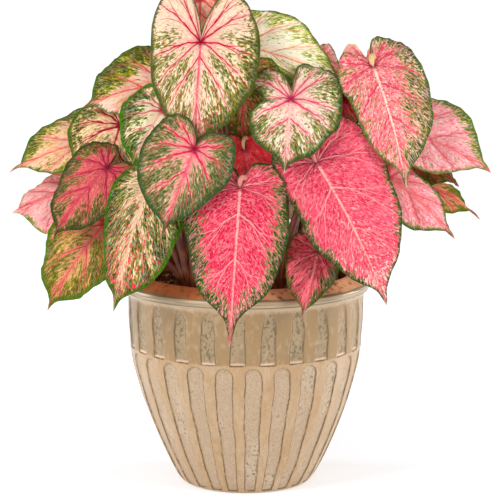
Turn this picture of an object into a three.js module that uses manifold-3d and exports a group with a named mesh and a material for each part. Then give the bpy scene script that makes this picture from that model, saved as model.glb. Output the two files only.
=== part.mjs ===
// A potted caladium: a stoneware pot with two rows of hollow flutes, potting mix, seven tubers' worth of
// leafstalks and forty-five heart-shaped leaves. Millimetres, +Z up. The origin is the centre of the pot's
// foot on the surface it stands on, and the plant's front faces -Y.
import * as THREE from "three";
import { mergeVertices } from "three/addons/utils/BufferGeometryUtils.js";
import Module from "manifold-3d";

const wasm = await Module();
wasm.setup();

// ---------------------------------------------------------------- driving dimensions
const flutes = 25; // hollow flutes in each row round the pot
const fluteDepth = 1.8;
const fluteTurn = -3.6; // degrees from the front to the middle of the nearest upper flute
// The pot's outer wall from the foot up: [radius, height]
const wall = {
  foot: [[64, 0], [67.5, 3]],
  lowerFlutes: [[71.5, 9], [82, 28], [92.5, 51], [104, 81.5], [112.8, 113], [116.2, 133]],
  upperFlutes: [[117, 139.5], [118.5, 166], [118.4, 186]],
  shoulder: [[119.2, 192], [124.4, 198], [121.5, 204.5], [105, 212]],
};
const waist = [116.9, 137.5]; // plain line between the two rows of flutes
// The hollow of the pot, from the middle of its floor to the mouth: [radius, height]
const hollow = [[0, 13], [50, 13], [84, 62], [102, 130], [103.5, 180], [103, 212], [103, 216]];
const clearance = 0.3; // gap between pieces that touch
// The top of the potting mix from the pot's wall to the middle: [radius, height]
const soilTop = [[103, 199.5], [84, 202.5], [0, 203.5]];
const soilSides = 32;

const crownRadius = 11; // where one tuber's leafstalks stand together
const crownDepth = 34; // how far they go down into the mix
const crownRise = 9; // how far their sheaths stand out of it
const crownSides = 10;
const crowns = [
  [-52, -48],
  [30, -46],
  [64, 8],
  [4, 6],
  [-56, 18],
  [-26, 62],
  [38, 60],
];

const stalk = { foot: 4.2, top: 1.9, sides: 5, steps: 5 }; // radii, mm
const bladeThickness = 0.9;
const sinusJoin = 3; // how far the two lobes are joined behind the stalk, if the row doesn't say
const fullness = 0.34; // how blunt a side is near the tip, if the row doesn't say
const widestAt = 0.14; // where a blade is widest, if the row doesn't say

// One row for each leaf: the crown it grows from, where its stalk meets the blade, its tip, the way it
// faces (degrees round from the front, degrees above level), its half widths left and right of the midrib,
// its lobes as shares of its length, and curl (degrees that the midrib turns from stalk to tip).
// full: how blunt each side is near the tip. join: mm that the lobes are joined behind the stalk. wide: where
// the blade is widest, as a share of its length. nick: how deeply the left margin is drawn in there.
const leaves = [
  // the front, from the top left down
  {
    crown: 3, base: [-43, -71, 446], tip: [-48, -107, 344], face: [-4, 22],
    half: [49, 56], lobe: [0.64, 0.58], curl: 30, full: [0.32, 0.46], join: 28,
  },
  {
    crown: 3, base: [-6, -20, 439], tip: [97, -28, 401], face: [14, 36],
    half: [36, 54], lobe: [0.06, 0.34], curl: 35,
  },
  {
    crown: 0, base: [-78, -20, 402], tip: [-160, -30, 379], face: [-22, 34],
    half: [53, 32], lobe: [0.3, 0.2], curl: 35,
  },
  {
    crown: 4, base: [-134, -5, 347], tip: [-234, -18, 314], face: [-35, 38],
    half: [56, 34], lobe: [0.2, 0.2], curl: 30, full: [0.2, 0.34],
  },
  {
    crown: 4, base: [-122, -38, 363], tip: [-137, -52, 292], face: [-20, 22],
    half: [54, 42], lobe: [0.42, 0.4], curl: 35, full: [0.45, 0.34],
  },
  {
    crown: 0, base: [-80, -60, 380], tip: [-110, -70, 326], face: [-15, 25],
    half: [40, 44], lobe: [0.34, 0.34], curl: 35,
  },
  {
    crown: 0, base: [-133, -76, 326], tip: [-185, -93, 259], face: [-22, 28],
    half: [39, 36], lobe: [0.32, 0.2], curl: 35, full: [0.3, 0.44],
  },
  {
    crown: 4, base: [-166, -6, 296], tip: [-232, -18, 273], face: [-28, 30],
    half: [26, 50], lobe: [0.3, 0.3], curl: 30, full: [0.3, 0.6],
  },
  {
    crown: 0, base: [-136, -66, 271], tip: [-192, -83, 188], face: [-22, 28],
    half: [50, 42], lobe: [0.2, 0.3], curl: 30, full: [0.4, 0.5],
  },
  {
    crown: 0, base: [-91, -107, 315], tip: [-126, -122, 194], face: [-12, 25],
    half: [34, 46], lobe: [0.14, 0.12], curl: 35, full: [0.3, 0.6],
  },
  {
    crown: 0, base: [-48, -132, 351], tip: [-76, -162, 275], face: [0, 25],
    half: [48, 40], lobe: [0.36, 0.34], curl: 30, full: [0.42, 0.1],
  },
  {
    crown: 1, base: [-5, -133, 315], tip: [-15, -168, 170], face: [1, 30],
    half: [50, 47], lobe: [0.2, 0.2], curl: 60, full: [0.44, 0.52],
  },
  {
    crown: 1, base: [-1, -84, 345], tip: [6, -88, 297], face: [5, 20],
    half: [34, 34], lobe: [0.36, 0.36], curl: 35,
  },
  {
    crown: 1, base: [43, -88, 393], tip: [36, -128, 328], face: [5, 28],
    half: [42, 49], lobe: [0.52, 0.85], curl: 30, full: [0.56, 0.46], wide: 0.04, nick: 0.34,
  },
  {
    crown: 3, base: [-3, -57, 411], tip: [-2, -69, 346], face: [-4, 20],
    half: [28, 40], lobe: [0.2, 0.3], curl: 30,
  },
  {
    crown: 1, base: [67, -104, 335], tip: [135, -110, 198], face: [4, 30],
    half: [44, 62], lobe: [0.2, 0.24], curl: 45, full: [0.42, 0.4],
  },
  {
    crown: 2, base: [123, -48, 421], tip: [153, -98, 309], face: [14, 20],
    half: [36, 50], lobe: [0.18, 0.3], curl: 35, full: [0.44, 0.44],
  },
  {
    crown: 2, base: [154, -28, 357], tip: [240, -45, 317], face: [24, 32],
    half: [36, 58], lobe: [0.3, 0.34], curl: 30,
  },
  {
    crown: 2, base: [138, -58, 314], tip: [202, -75, 257], face: [25, 28],
    half: [34, 28], lobe: [0.3, 0.3], curl: 30,
  },
  {
    crown: 2, base: [166, -20, 326], tip: [209, -34, 302], face: [34, 40],
    half: [24, 22], lobe: [0.3, 0.3], curl: 30, full: [0.34, 0.6],
  },
  {
    crown: 2, base: [171, 0, 302], tip: [232, -15, 267], face: [32, 40],
    half: [26, 17], lobe: [0.3, 0.3], curl: 30, full: [0.1, 0.1],
  },
  {
    crown: 1, base: [69, -92, 247], tip: [53, -132, 189], face: [12, 30],
    half: [30, 24], lobe: [0.3, 0.3], curl: 35, full: [0.3, 0.06],
  },
  {
    crown: 2, base: [70, 22, 420], tip: [78, 8, 378], face: [8, 15],
    half: [24, 24], lobe: [0.4, 0.4], curl: 30,
  },
  {
    crown: 2, base: [120, 10, 418], tip: [124, -2, 364], face: [12, 15],
    half: [26, 26], lobe: [0.4, 0.4], curl: 30,
  },
  {
    crown: 2, base: [96, -38, 388], tip: [90, -49, 339], face: [5, 20],
    half: [24, 18], lobe: [0.2, 0.1], curl: 30,
  },
  // the back, tier by tier from the top
  {
    crown: 5, base: [-26, 44, 443], tip: [-40, 122, 388], face: [187, 42],
    half: [44, 42], lobe: [0.3, 0.34], curl: 35,
  },
  {
    crown: 6, base: [44, 68, 412], tip: [84, 142, 356], face: [155, 40],
    half: [42, 46], lobe: [0.3, 0.26], curl: 35,
  },
  {
    crown: 5, base: [-72, 54, 410], tip: [-120, 122, 348], face: [214, 38],
    half: [44, 40], lobe: [0.3, 0.3], curl: 35,
  },
  {
    crown: 6, base: [100, 78, 384], tip: [152, 132, 326], face: [138, 38],
    half: [40, 42], lobe: [0.3, 0.3], curl: 35,
  },
  {
    crown: 4, base: [-118, 52, 354], tip: [-184, 92, 302], face: [246, 40],
    half: [40, 42], lobe: [0.3, 0.3], curl: 35,
  },
  {
    crown: 2, base: [146, 36, 352], tip: [202, 84, 304], face: [118, 40],
    half: [38, 36], lobe: [0.3, 0.3], curl: 35,
  },
  {
    crown: 5, base: [-24, 102, 378], tip: [-30, 178, 306], face: [182, 34],
    half: [44, 46], lobe: [0.34, 0.34], curl: 35,
  },
  {
    crown: 6, base: [46, 106, 364], tip: [82, 178, 290], face: [160, 32],
    half: [46, 42], lobe: [0.34, 0.34], curl: 35,
  },
  {
    crown: 5, base: [-84, 104, 334], tip: [-128, 164, 264], face: [208, 30],
    half: [42, 44], lobe: [0.34, 0.3], curl: 35,
  },
  {
    crown: 6, base: [108, 90, 324], tip: [150, 142, 256], face: [138, 30],
    half: [40, 42], lobe: [0.3, 0.34], curl: 35,
  },
  {
    crown: 4, base: [-132, 60, 312], tip: [-184, 102, 254], face: [240, 34],
    half: [38, 36], lobe: [0.3, 0.3], curl: 35,
  },
  {
    crown: 2, base: [124, 50, 282], tip: [146, 80, 228], face: [120, 34],
    half: [32, 34], lobe: [0.3, 0.3], curl: 35,
  },
  {
    crown: 5, base: [-6, 128, 304], tip: [-8, 184, 192], face: [181, 26],
    half: [46, 44], lobe: [0.3, 0.3], curl: 45,
  },
  {
    crown: 6, base: [64, 118, 282], tip: [88, 168, 186], face: [160, 26],
    half: [38, 40], lobe: [0.3, 0.3], curl: 40,
  },
  {
    crown: 5, base: [-74, 112, 280], tip: [-98, 164, 188], face: [202, 26],
    half: [40, 38], lobe: [0.3, 0.3], curl: 40,
  },
  {
    crown: 4, base: [-122, 44, 256], tip: [-158, 64, 194], face: [256, 30],
    half: [30, 32], lobe: [0.3, 0.3], curl: 35,
  },
  {
    crown: 3, base: [14, 8, 424], tip: [48, 46, 398], face: [130, 56],
    half: [26, 28], lobe: [0.36, 0.36], curl: 30,
  },
  {
    crown: 2, base: [104, 6, 232], tip: [133, 9, 194], face: [92, 32],
    half: [24, 23], lobe: [0.3, 0.3], curl: 35,
  },
  {
    crown: 4, base: [-92, -19, 243], tip: [-130, -24, 203], face: [268, 32],
    half: [24, 24], lobe: [0.3, 0.3], curl: 35,
  },
  {
    crown: 3, base: [-44, -20, 484], tip: [-46, -28, 437], face: [-4, 10],
    half: [33, 33], lobe: [0.16, 0.16], curl: 20,
  },
];

// ---------------------------------------------------------------- helpers
const rad = THREE.MathUtils.degToRad;
const clamp01 = (t) => Math.min(1, Math.max(0, t));
const cubic = (a, b, c, d, t) =>
  (1 - t) ** 3 * a + 3 * (1 - t) ** 2 * t * b + 3 * (1 - t) * t * t * c + t ** 3 * d;
const smooth = (t) => clamp01(t) ** 2 * (3 - 2 * clamp01(t));
const fract = (x) => x - Math.floor(x);

function geometryOf(vertices, triangles) {
  const made = new THREE.BufferGeometry();
  made.setAttribute("position", new THREE.Float32BufferAttribute(vertices.flat(), 3));
  made.setIndex(triangles.flat());
  return made;
}

function solidOf(geometry) {
  const bare = geometry.clone();
  bare.deleteAttribute("normal");
  bare.deleteAttribute("uv");
  const merged = mergeVertices(bare, 1e-4);
  const index = Array.from(merged.index.array);
  const kept = [];
  for (let i = 0; i < index.length; i += 3) {
    const [a, b, c] = index.slice(i, i + 3);
    if (a !== b && b !== c && a !== c) kept.push(a, b, c);
  }
  return new wasm.Manifold(
    new wasm.Mesh({
      numProp: 3,
      vertProperties: new Float32Array(merged.attributes.position.array),
      triVerts: new Uint32Array(kept),
    }),
  );
}

function geometryFrom(solid) {
  const mesh = solid.getMesh();
  const made = new THREE.BufferGeometry();
  made.setAttribute("position", new THREE.BufferAttribute(mesh.vertProperties, 3));
  made.setIndex(new THREE.BufferAttribute(mesh.triVerts, 1));
  return made;
}

function piece(name, solid, material) {
  const mesh = new THREE.Mesh(geometryFrom(solid), material);
  mesh.name = name;
  return mesh;
}

const lathe = (profile, sides) => {
  const turned = new THREE.LatheGeometry(profile.map(([r, z]) => new THREE.Vector2(r, z)), sides);
  return solidOf(turned.rotateX(Math.PI / 2));
};

// ---------------------------------------------------------------- pot
// Four columns to a flute, at its two soft edges; both rows of flutes share them, half a pitch apart.
function potWall() {
  const soft = 0.035; // half the width of a flute's edge, as a share of the pitch
  const edges = [-0.25 - soft, -0.25 + soft, 0.25 - soft, 0.25 + soft];
  const rows = [
    ...wall.foot.map((at) => ({ at, cut: "none" })),
    ...wall.lowerFlutes.map((at) => ({ at, cut: "lower" })),
    { at: waist, cut: "none" },
    ...wall.upperFlutes.map((at) => ({ at, cut: "upper" })),
    ...wall.shoulder.map((at) => ({ at, cut: "none" })),
  ];
  const archTops = [wall.lowerFlutes.at(-1), wall.upperFlutes.at(-1)];
  const vertices = [];
  for (const { at, cut } of rows) {
    const narrowed = archTops.includes(at) ? 0.1 : 0; // a flute's top closes in to an arch
    for (let flute = 0; flute < flutes; flute++)
      edges.forEach((edge, i) => {
        const insideUpper = i === 1 || i === 2;
        const hollowed = (cut === "upper" && insideUpper) || (cut === "lower" && !insideUpper);
        const towards = cut === "upper" ? -Math.sign(edge) : Math.sign(edge);
        const turn = ((flute + edge + towards * narrowed) / flutes) * 2 * Math.PI + rad(fluteTurn);
        const radius = at[0] - (hollowed ? fluteDepth : 0);
        vertices.push([radius * Math.sin(turn), -radius * Math.cos(turn), at[1]]);
      });
  }
  const columns = flutes * edges.length;
  const triangles = [];
  for (let row = 0; row + 1 < rows.length; row++)
    for (let column = 0; column < columns; column++) {
      const next = (column + 1) % columns;
      const [a, b] = [row * columns + column, row * columns + next];
      triangles.push([a, b, b + columns], [a, b + columns, a + columns]);
    }
  const bottom = vertices.push([0, 0, rows[0].at[1]]) - 1;
  const top = vertices.push([0, 0, rows.at(-1).at[1]]) - 1;
  const last = (rows.length - 1) * columns;
  for (let column = 0; column < columns; column++) {
    const next = (column + 1) % columns;
    triangles.push([bottom, next, column], [top, last + column, last + next]);
  }
  return solidOf(geometryOf(vertices, triangles));
}

function makePot() {
  const inside = lathe([...hollow, [0, hollow.at(-1)[1]]], soilSides);
  return potWall().subtract(inside);
}

// ---------------------------------------------------------------- potting mix
function makeSoil() {
  const inner = hollow
    .filter(([, z]) => z < 190)
    .map(([r, z], i) => [Math.max(0, r - (i ? 2 * clearance : 0)), z + clearance]);
  const mix = lathe([...inner, ...soilTop.map(([r, z]) => [Math.max(0, r - 2 * clearance), z])], soilSides);
  const holes = crowns.map(([x, y]) =>
    lathe(
      [
        [0, soilTop.at(-1)[1] - crownDepth - clearance],
        [crownRadius + clearance, soilTop.at(-1)[1] - crownDepth - clearance],
        [crownRadius + clearance, soilTop.at(-1)[1] + 20],
        [0, soilTop.at(-1)[1] + 20],
      ],
      crownSides,
    ).translate([x, y, 0]),
  );
  return holes.reduce((left, hole) => left.subtract(hole), mix);
}

// ---------------------------------------------------------------- leaf blade
const basalShare = 0.45; // share of the outline whose veins all start at the stalk

// The right half's outline, from the sinus (p 0) over the lobe to the tip (p 1): three cubic curves, then
// drawn in by a third just short of the tip, which leaves a narrow point.
function outline(p, { length, half, lobe, join, full, widest }) {
  const wide = widest * length;
  const left = length - wide;
  if (p < 0.2) {
    const t = p / 0.2;
    return [cubic(0, 0.03 * half, 0.16 * half, 0.5 * half, t), cubic(-join, -0.6 * lobe, -lobe, -lobe, t)];
  }
  if (p < 0.48) {
    const t = (p - 0.2) / 0.28;
    return [
      cubic(0.5 * half, 0.82 * half, half, half, t),
      cubic(-lobe, -lobe, wide - 0.6 * (wide + lobe), wide, t),
    ];
  }
  const t = (p - 0.48) / 0.52;
  const point = 1 - 0.35 * smooth((p - 0.84) / 0.12);
  return [
    cubic(half, half, full * half, 0, t) * point,
    cubic(wide, wide + 0.5 * left, length - 0.26 * left, length, t),
  ];
}

// The frame of a leaf: its chord, its facing, the side to the right of the midrib, and its bend.
function leafFrame(leaf) {
  const base = new THREE.Vector3(...leaf.base);
  const chord = new THREE.Vector3(...leaf.tip).sub(base);
  const along = chord.clone().normalize();
  const [round, up] = leaf.face.map(rad);
  const facing = new THREE.Vector3(
    Math.sin(round) * Math.cos(up),
    -Math.cos(round) * Math.cos(up),
    Math.sin(up),
  );
  facing.addScaledVector(along, -facing.dot(along)).normalize();
  const across = facing.clone().cross(along);
  const curl = rad(leaf.curl);
  const bend = chord.length() / (2 * Math.sin(curl / 2));
  return { base, along, facing, across, curl, bend, length: bend * curl };
}

// A point of the blade's upper face: the vein line p of one half, at share q from midrib to margin.
function bladePoint(leaf, index, frame, side, p, q) {
  const { length, curl, bend } = frame;
  const hand = side < 0 ? 0 : 1;
  const half = leaf.half[hand];
  const lobe = leaf.lobe[hand] * length;
  const full = leaf.full?.[hand] ?? fullness;
  const widest = leaf.wide ?? widestAt;
  const [fullU, endV] = outline(p, { length, half, lobe, full, widest, join: leaf.join ?? sinusJoin });
  const nick = side < 0 ? (leaf.nick ?? 0) : 0;
  const endU = fullU * (1 - nick * Math.exp(-(((p - 0.48) / 0.06) ** 2)));
  const started = clamp01((p - basalShare) / (1 - basalShare));
  const startV = length * started ** 1.6;
  const reach = Math.hypot(endU, endV - startV);
  const swing = 0.1 * clamp01((p - 0.2) / 0.3) * (1 - started) * reach;
  const u = q * endU;
  const v = startV + q * (endV - startV) - 2 * q * (1 - q) * swing;
  const share = v / length;
  const turned = curl * (0.5 - share);
  const out = bend * (Math.cos(turned) - Math.cos(curl / 2));
  const down = bend * (Math.sin(curl / 2) - Math.sin(turned));
  const bow = (leaf.bow ?? 0) * 4 * share * (share > 0 ? 1 - share : 1);
  const waves = 2.5 + fract(0.37 * index);
  const phase = 2 * Math.PI * fract(0.618 * index + (side < 0 ? 0.4 : 0));
  const held = clamp01(p / 0.12) * clamp01((1 - p) / 0.15);
  const lift =
    (leaf.cup ?? -0.06) * half * (u / half) ** 2 * 2 +
    (leaf.wave ?? 3) * held * q * q * Math.sin(2 * Math.PI * waves * p + phase);
  const normal = frame.facing.clone().multiplyScalar(Math.cos(turned));
  normal.addScaledVector(frame.along, -Math.sin(turned));
  const point = frame.base
    .clone()
    .addScaledVector(frame.facing, out)
    .addScaledVector(frame.along, down)
    .addScaledVector(frame.across, side * u + bow)
    .addScaledVector(normal, lift);
  return { point, normal };
}

const veinLines = [0, 0.11, 0.22, 0.34, 0.48, 0.62, 0.76, 0.9, 1];
const rings = [0, 0.4, 0.75, 1];

function makeBlade(leaf, index) {
  const frame = leafFrame(leaf);
  const vertices = [];
  const triangles = [];
  const put = (v) => vertices.push(v.toArray()) - 1;
  for (const side of [-1, 1]) {
    const top = [];
    const under = [];
    for (const p of veinLines) {
      const spots = rings.map((q) => bladePoint(leaf, index, frame, side, p, q));
      top.push(spots.map(({ point }) => put(point)));
      under.push(spots.map(({ point, normal }) => put(point.clone().addScaledVector(normal, -bladeThickness))));
    }
    const face = (a, b, c) => triangles.push(side > 0 ? [a, b, c] : [a, c, b]);
    const last = rings.length - 1;
    for (let i = 0; i + 1 < veinLines.length; i++) {
      for (let j = 0; j < last; j++) {
        const cell = (grid) => [grid[i][j], grid[i + 1][j], grid[i + 1][j + 1], grid[i][j + 1]];
        const [a, b, c, d] = cell(top);
        face(a, b, c);
        face(a, c, d);
        const [e, f, g, h] = cell(under);
        face(e, g, f);
        face(e, h, g);
      }
      face(top[i][last], top[i + 1][last], under[i + 1][last]);
      face(top[i][last], under[i + 1][last], under[i][last]);
    }
  }
  return solidOf(geometryOf(vertices, triangles));
}

// ---------------------------------------------------------------- leafstalks
function tubeAlong(curve, radiusAt, sides, steps) {
  const vertices = [];
  const triangles = [];
  const start = curve.getTangent(0);
  let side = new THREE.Vector3(1, 0, 0).addScaledVector(start, -start.x).normalize();
  for (let i = 0; i <= steps; i++) {
    const at = curve.getPoint(i / steps);
    const tangent = curve.getTangent(i / steps);
    side = side.clone().addScaledVector(tangent, -side.dot(tangent)).normalize();
    const other = tangent.clone().cross(side);
    for (let k = 0; k < sides; k++) {
      const turn = (2 * Math.PI * k) / sides;
      const spoke = side.clone().multiplyScalar(Math.cos(turn)).addScaledVector(other, Math.sin(turn));
      vertices.push(at.clone().addScaledVector(spoke, radiusAt(i / steps)).toArray());
    }
  }
  for (let i = 0; i < steps; i++)
    for (let k = 0; k < sides; k++) {
      const [a, b] = [i * sides + k, i * sides + ((k + 1) % sides)];
      triangles.push([a, b, b + sides], [a, b + sides, a + sides]);
    }
  for (let k = 1; k + 1 < sides; k++) {
    const end = steps * sides;
    triangles.push([0, k + 1, k], [end, end + k, end + k + 1]);
  }
  return solidOf(geometryOf(vertices, triangles));
}

// A stalk leaves its crown upwards, leans out, and meets the blade square from behind.
function makeStalk(leaf) {
  const frame = leafFrame(leaf);
  const [x, y] = crowns[leaf.crown];
  const soilLevel = soilTop.at(-1)[1];
  const turned = frame.curl / 2;
  const normal = frame.facing.clone().multiplyScalar(Math.cos(turned));
  normal.addScaledVector(frame.along, -Math.sin(turned));
  const heading = frame.along.clone().multiplyScalar(Math.cos(turned));
  heading.addScaledVector(frame.facing, Math.sin(turned));
  const arrival = normal.clone().multiplyScalar(0.98).addScaledVector(heading, 0.2);
  const end = frame.base.clone().addScaledVector(normal, -(bladeThickness + clearance + 0.3));
  const lean = new THREE.Vector3(leaf.base[0] - x, leaf.base[1] - y, 0);
  const start = new THREE.Vector3(x, y, soilLevel - 6).addScaledVector(lean, 0.02);
  const reach = end.distanceTo(start);
  const rise = start.clone().add(new THREE.Vector3(0, 0, reach * (leaf.rise ?? 0.45)));
  rise.addScaledVector(lean, 0.08);
  const behind = end.clone().addScaledVector(arrival, -reach * (leaf.neck ?? 0.15));
  const curve = new THREE.CubicBezierCurve3(start, rise, behind, end);
  return tubeAlong(curve, (t) => stalk.foot + (stalk.top - stalk.foot) * t, stalk.sides, stalk.steps);
}

function makeCrown(index) {
  const [x, y] = crowns[index];
  const level = soilTop.at(-1)[1];
  const sheath = lathe(
    [
      [0, level - crownDepth],
      [crownRadius, level - crownDepth],
      [crownRadius, level + 1],
      [crownRadius * 0.7, level + crownRise],
      [0, level + crownRise],
    ],
    crownSides,
  ).translate([x, y, 0]);
  return leaves
    .filter((leaf) => leaf.crown === index)
    .reduce((whole, leaf) => whole.add(makeStalk(leaf)), sheath);
}

// ---------------------------------------------------------------- the potted plant
const glaze = new THREE.MeshStandardMaterial({ color: "#c8b08a", roughness: 0.35, metalness: 0 });
const mixColour = new THREE.MeshStandardMaterial({ color: "#3a261c", roughness: 0.95, metalness: 0 });
const stalkColour = new THREE.MeshStandardMaterial({ color: "#6b3a34", roughness: 0.5, metalness: 0 });
const bladeColour = new THREE.MeshStandardMaterial({ color: "#e2607a", roughness: 0.5, metalness: 0 });
const number = (index) => String(index + 1).padStart(2, "0");

const plant = new THREE.Group();
plant.add(piece("pot", makePot(), glaze));
plant.add(piece("potting_mix", makeSoil(), mixColour));
crowns.forEach((_, index) => plant.add(piece("leafstalks_" + (index + 1), makeCrown(index), stalkColour)));
leaves.forEach((leaf, index) => plant.add(piece("leaf_" + number(index), makeBlade(leaf, index), bladeColour)));

export default plant;
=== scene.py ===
import itertools
import math

import bpy
import numpy as np
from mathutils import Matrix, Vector


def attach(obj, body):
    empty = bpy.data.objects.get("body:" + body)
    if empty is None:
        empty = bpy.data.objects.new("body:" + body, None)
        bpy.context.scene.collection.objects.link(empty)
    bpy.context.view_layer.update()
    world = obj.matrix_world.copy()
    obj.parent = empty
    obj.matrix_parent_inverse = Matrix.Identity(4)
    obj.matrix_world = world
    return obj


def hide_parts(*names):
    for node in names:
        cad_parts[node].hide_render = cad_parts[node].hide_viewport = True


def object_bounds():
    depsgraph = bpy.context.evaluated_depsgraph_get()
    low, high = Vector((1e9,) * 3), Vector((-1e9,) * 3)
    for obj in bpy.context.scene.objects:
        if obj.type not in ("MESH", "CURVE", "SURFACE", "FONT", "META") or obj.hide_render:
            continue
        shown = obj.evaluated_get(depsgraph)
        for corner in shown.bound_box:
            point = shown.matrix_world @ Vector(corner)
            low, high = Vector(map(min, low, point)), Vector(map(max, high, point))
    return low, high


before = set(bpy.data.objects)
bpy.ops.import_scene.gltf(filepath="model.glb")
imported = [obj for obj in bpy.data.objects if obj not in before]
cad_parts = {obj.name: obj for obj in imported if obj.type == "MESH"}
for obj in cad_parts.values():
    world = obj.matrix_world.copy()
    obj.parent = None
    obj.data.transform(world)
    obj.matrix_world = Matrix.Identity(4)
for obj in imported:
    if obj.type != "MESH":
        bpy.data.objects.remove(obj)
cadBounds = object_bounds()
mm = 0.001  # shapes are worked out in mm, and meshes hold metres
print("frame loaded:", len(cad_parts), "nodes")


# sRGB hex to linear RGBA, by the standard's own curve
def hexToLinear(text):
    shares = [int(text[i : i + 2], 16) / 255 for i in (1, 3, 5)]
    return (*[c / 12.92 if c <= 0.04045 else ((c + 0.055) / 1.055) ** 2.4 for c in shares], 1.0)


# adds one node: an input is a value, a hex colour, a socket, or a node whose first live output feeds it
def addNode(tree, kind, inputs=None, **settings):
    node = tree.nodes.new("ShaderNode" + kind)
    for name, value in settings.items():
        setattr(node, name, value)
    for key, value in (inputs or {}).items():
        if isinstance(value, bpy.types.Node):
            value = next(socket for socket in value.outputs if socket.enabled)
        if isinstance(value, bpy.types.NodeSocket):
            tree.links.new(value, node.inputs[key])
        else:
            node.inputs[key].default_value = hexToLinear(value) if isinstance(value, str) else value
    return node


# a material whose shader has the inputs that finish works out in its tree
def makeMaterial(name, finish, *details):
    material = bpy.data.materials.new(name)
    material.use_nodes = True
    tree = material.node_tree
    tree.nodes.clear()
    shader = addNode(tree, "BsdfPrincipled", finish(tree, *details))
    addNode(tree, "OutputMaterial", {"Surface": shader})
    return material


# Paints a surface. Each row works out value * factor + offset from numbers and from what known holds, and
# holds it between 0 and 1 unless its name starts with raw. Then, from the ground up, each layer covers the
# colours before it by its mask, the product of the names and numbers in it.
def paint(tree, known, rows, colours, ground, layers):
    for name, terms in rows.items():
        inputs = {place: known.get(term, term) for place, term in enumerate(terms)}
        held = not name.startswith("raw")
        known[name] = addNode(tree, "Math", inputs, operation="MULTIPLY_ADD", use_clamp=held)
    colour = colours[ground]
    for mask, top in layers.items():
        cover, *factors = [known[part] if part in known else float(part) for part in mask.split()]
        for factor in factors:
            cover = addNode(tree, "Math", {0: cover, 1: factor}, operation="MULTIPLY")
        colour = addNode(tree, "Mix", {0: cover, 6: colour, 7: colours[top]}, data_type="RGBA")
    return colour


# a table's row as a dictionary, with what only this row has from a dictionary at its end
def named(names, row):
    return dict(zip(names, row)) | (row[-1] if len(row) > len(names) else {})


def clamp01(t):
    return np.clip(t, 0.0, 1.0)


# 0 to 1 along t, flat at both ends: 3t² - 2t³
def smooth(t):
    t = clamp01(t)
    return t * t * (3 - 2 * t)


# 1 at zero, falling to either side as a bell of this width
def bell(x, width):
    return np.exp(-((x / width) ** 2))


# from the first of a pair to the second, as t goes from 0 to 1
def slide(pair, t):
    return pair[0] + (pair[1] - pair[0]) * t


# a cubic curve's value at t, from its four control values
def cubic(a, b, c, d, t):
    return (1 - t) ** 3 * a + 3 * (1 - t) ** 2 * t * b + 3 * (1 - t) * t * t * c + t**3 * d


def fract(x):
    return x - math.floor(x)


def unit(vectors):
    return vectors / np.linalg.norm(vectors, axis=-1, keepdims=True)


# a smooth path through control points (Catmull-Rom), with steps rows to each span
def smoothPath(points, steps):
    points = np.array(points, float)
    padded = np.vstack([2 * points[0] - points[1], points, 2 * points[-1] - points[-2]])
    t = (np.arange(steps) / steps)[:, None]
    a, b, c, d = (padded[i : len(points) - 1 + i, None] for i in range(4))
    spans = 0.5 * (2 * b + (c - a) * t + (2 * a - 5 * b + 4 * c - d) * t**2 + (3 * b - a - 3 * c + d) * t**3)
    return np.vstack([spans.reshape(-1, points.shape[1]), points[-1:]])


# the parts side by side in a last axis, each stretched to the size of the others
def stacked(*parts):
    return np.stack(np.broadcast_arrays(*parts), -1)


# two triangles to each cell with these corners
def splitCells(a, b, c, d):
    return np.concatenate([stacked(a, b, c).reshape(-1, 3), stacked(a, c, d).reshape(-1, 3)])


# triangles of a grid of rows by columns, closed round its columns if it wraps
def gridTriangles(rows, columns, wrap=False):
    number = np.arange(rows * columns).reshape(rows, columns)
    if wrap:
        number = np.hstack([number, number[:, :1]])
    return splitCells(number[:-1, :-1], number[:-1, 1:], number[1:, 1:], number[1:, :-1])


# A smooth-shaded mesh object, in which points that round to the same part of a mm are one. fields are
# values at the points given, held at the faces' corners, so that merged points keep those of both sides.
def makePiece(name, points, triangles, material, fields=None, partsOfMm=1000):
    rounded = np.round(points * partsOfMm).astype(np.int64)
    _, first, same = np.unique(rounded, axis=0, return_index=True, return_inverse=True)
    kept = same.reshape(-1)[triangles]
    whole = (kept[:, 0] != kept[:, 1]) & (kept[:, 1] != kept[:, 2]) & (kept[:, 0] != kept[:, 2])
    kept, triangles = kept[whole], triangles[whole]
    mesh = bpy.data.meshes.new(name)
    mesh.vertices.add(len(first))
    mesh.vertices.foreach_set("co", (points[first] * mm).ravel())
    mesh.loops.add(kept.size)
    mesh.loops.foreach_set("vertex_index", kept.ravel().astype(np.int32))
    mesh.polygons.add(len(kept))
    mesh.polygons.foreach_set("loop_start", np.arange(0, kept.size, 3, dtype=np.int32))
    mesh.polygons.foreach_set("use_smooth", np.ones(len(kept), bool))
    mesh.update(calc_edges=True)
    for field, values in (fields or {}).items():
        kind, part = ("FLOAT_VECTOR", "vector") if values.ndim == 2 else ("FLOAT", "value")
        held = mesh.attributes.new(field, kind, "CORNER")
        held.data.foreach_set(part, values[triangles.ravel()].ravel().astype(np.float32))
    mesh.materials.append(material)
    piece = bpy.data.objects.new(name, mesh)
    bpy.context.collection.objects.link(piece)
    return piece


# the piece stands for a CAD node: it hangs on the root body, and the node is hidden
def standFor(piece, node):
    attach(piece, "root")
    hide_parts(node)


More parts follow.
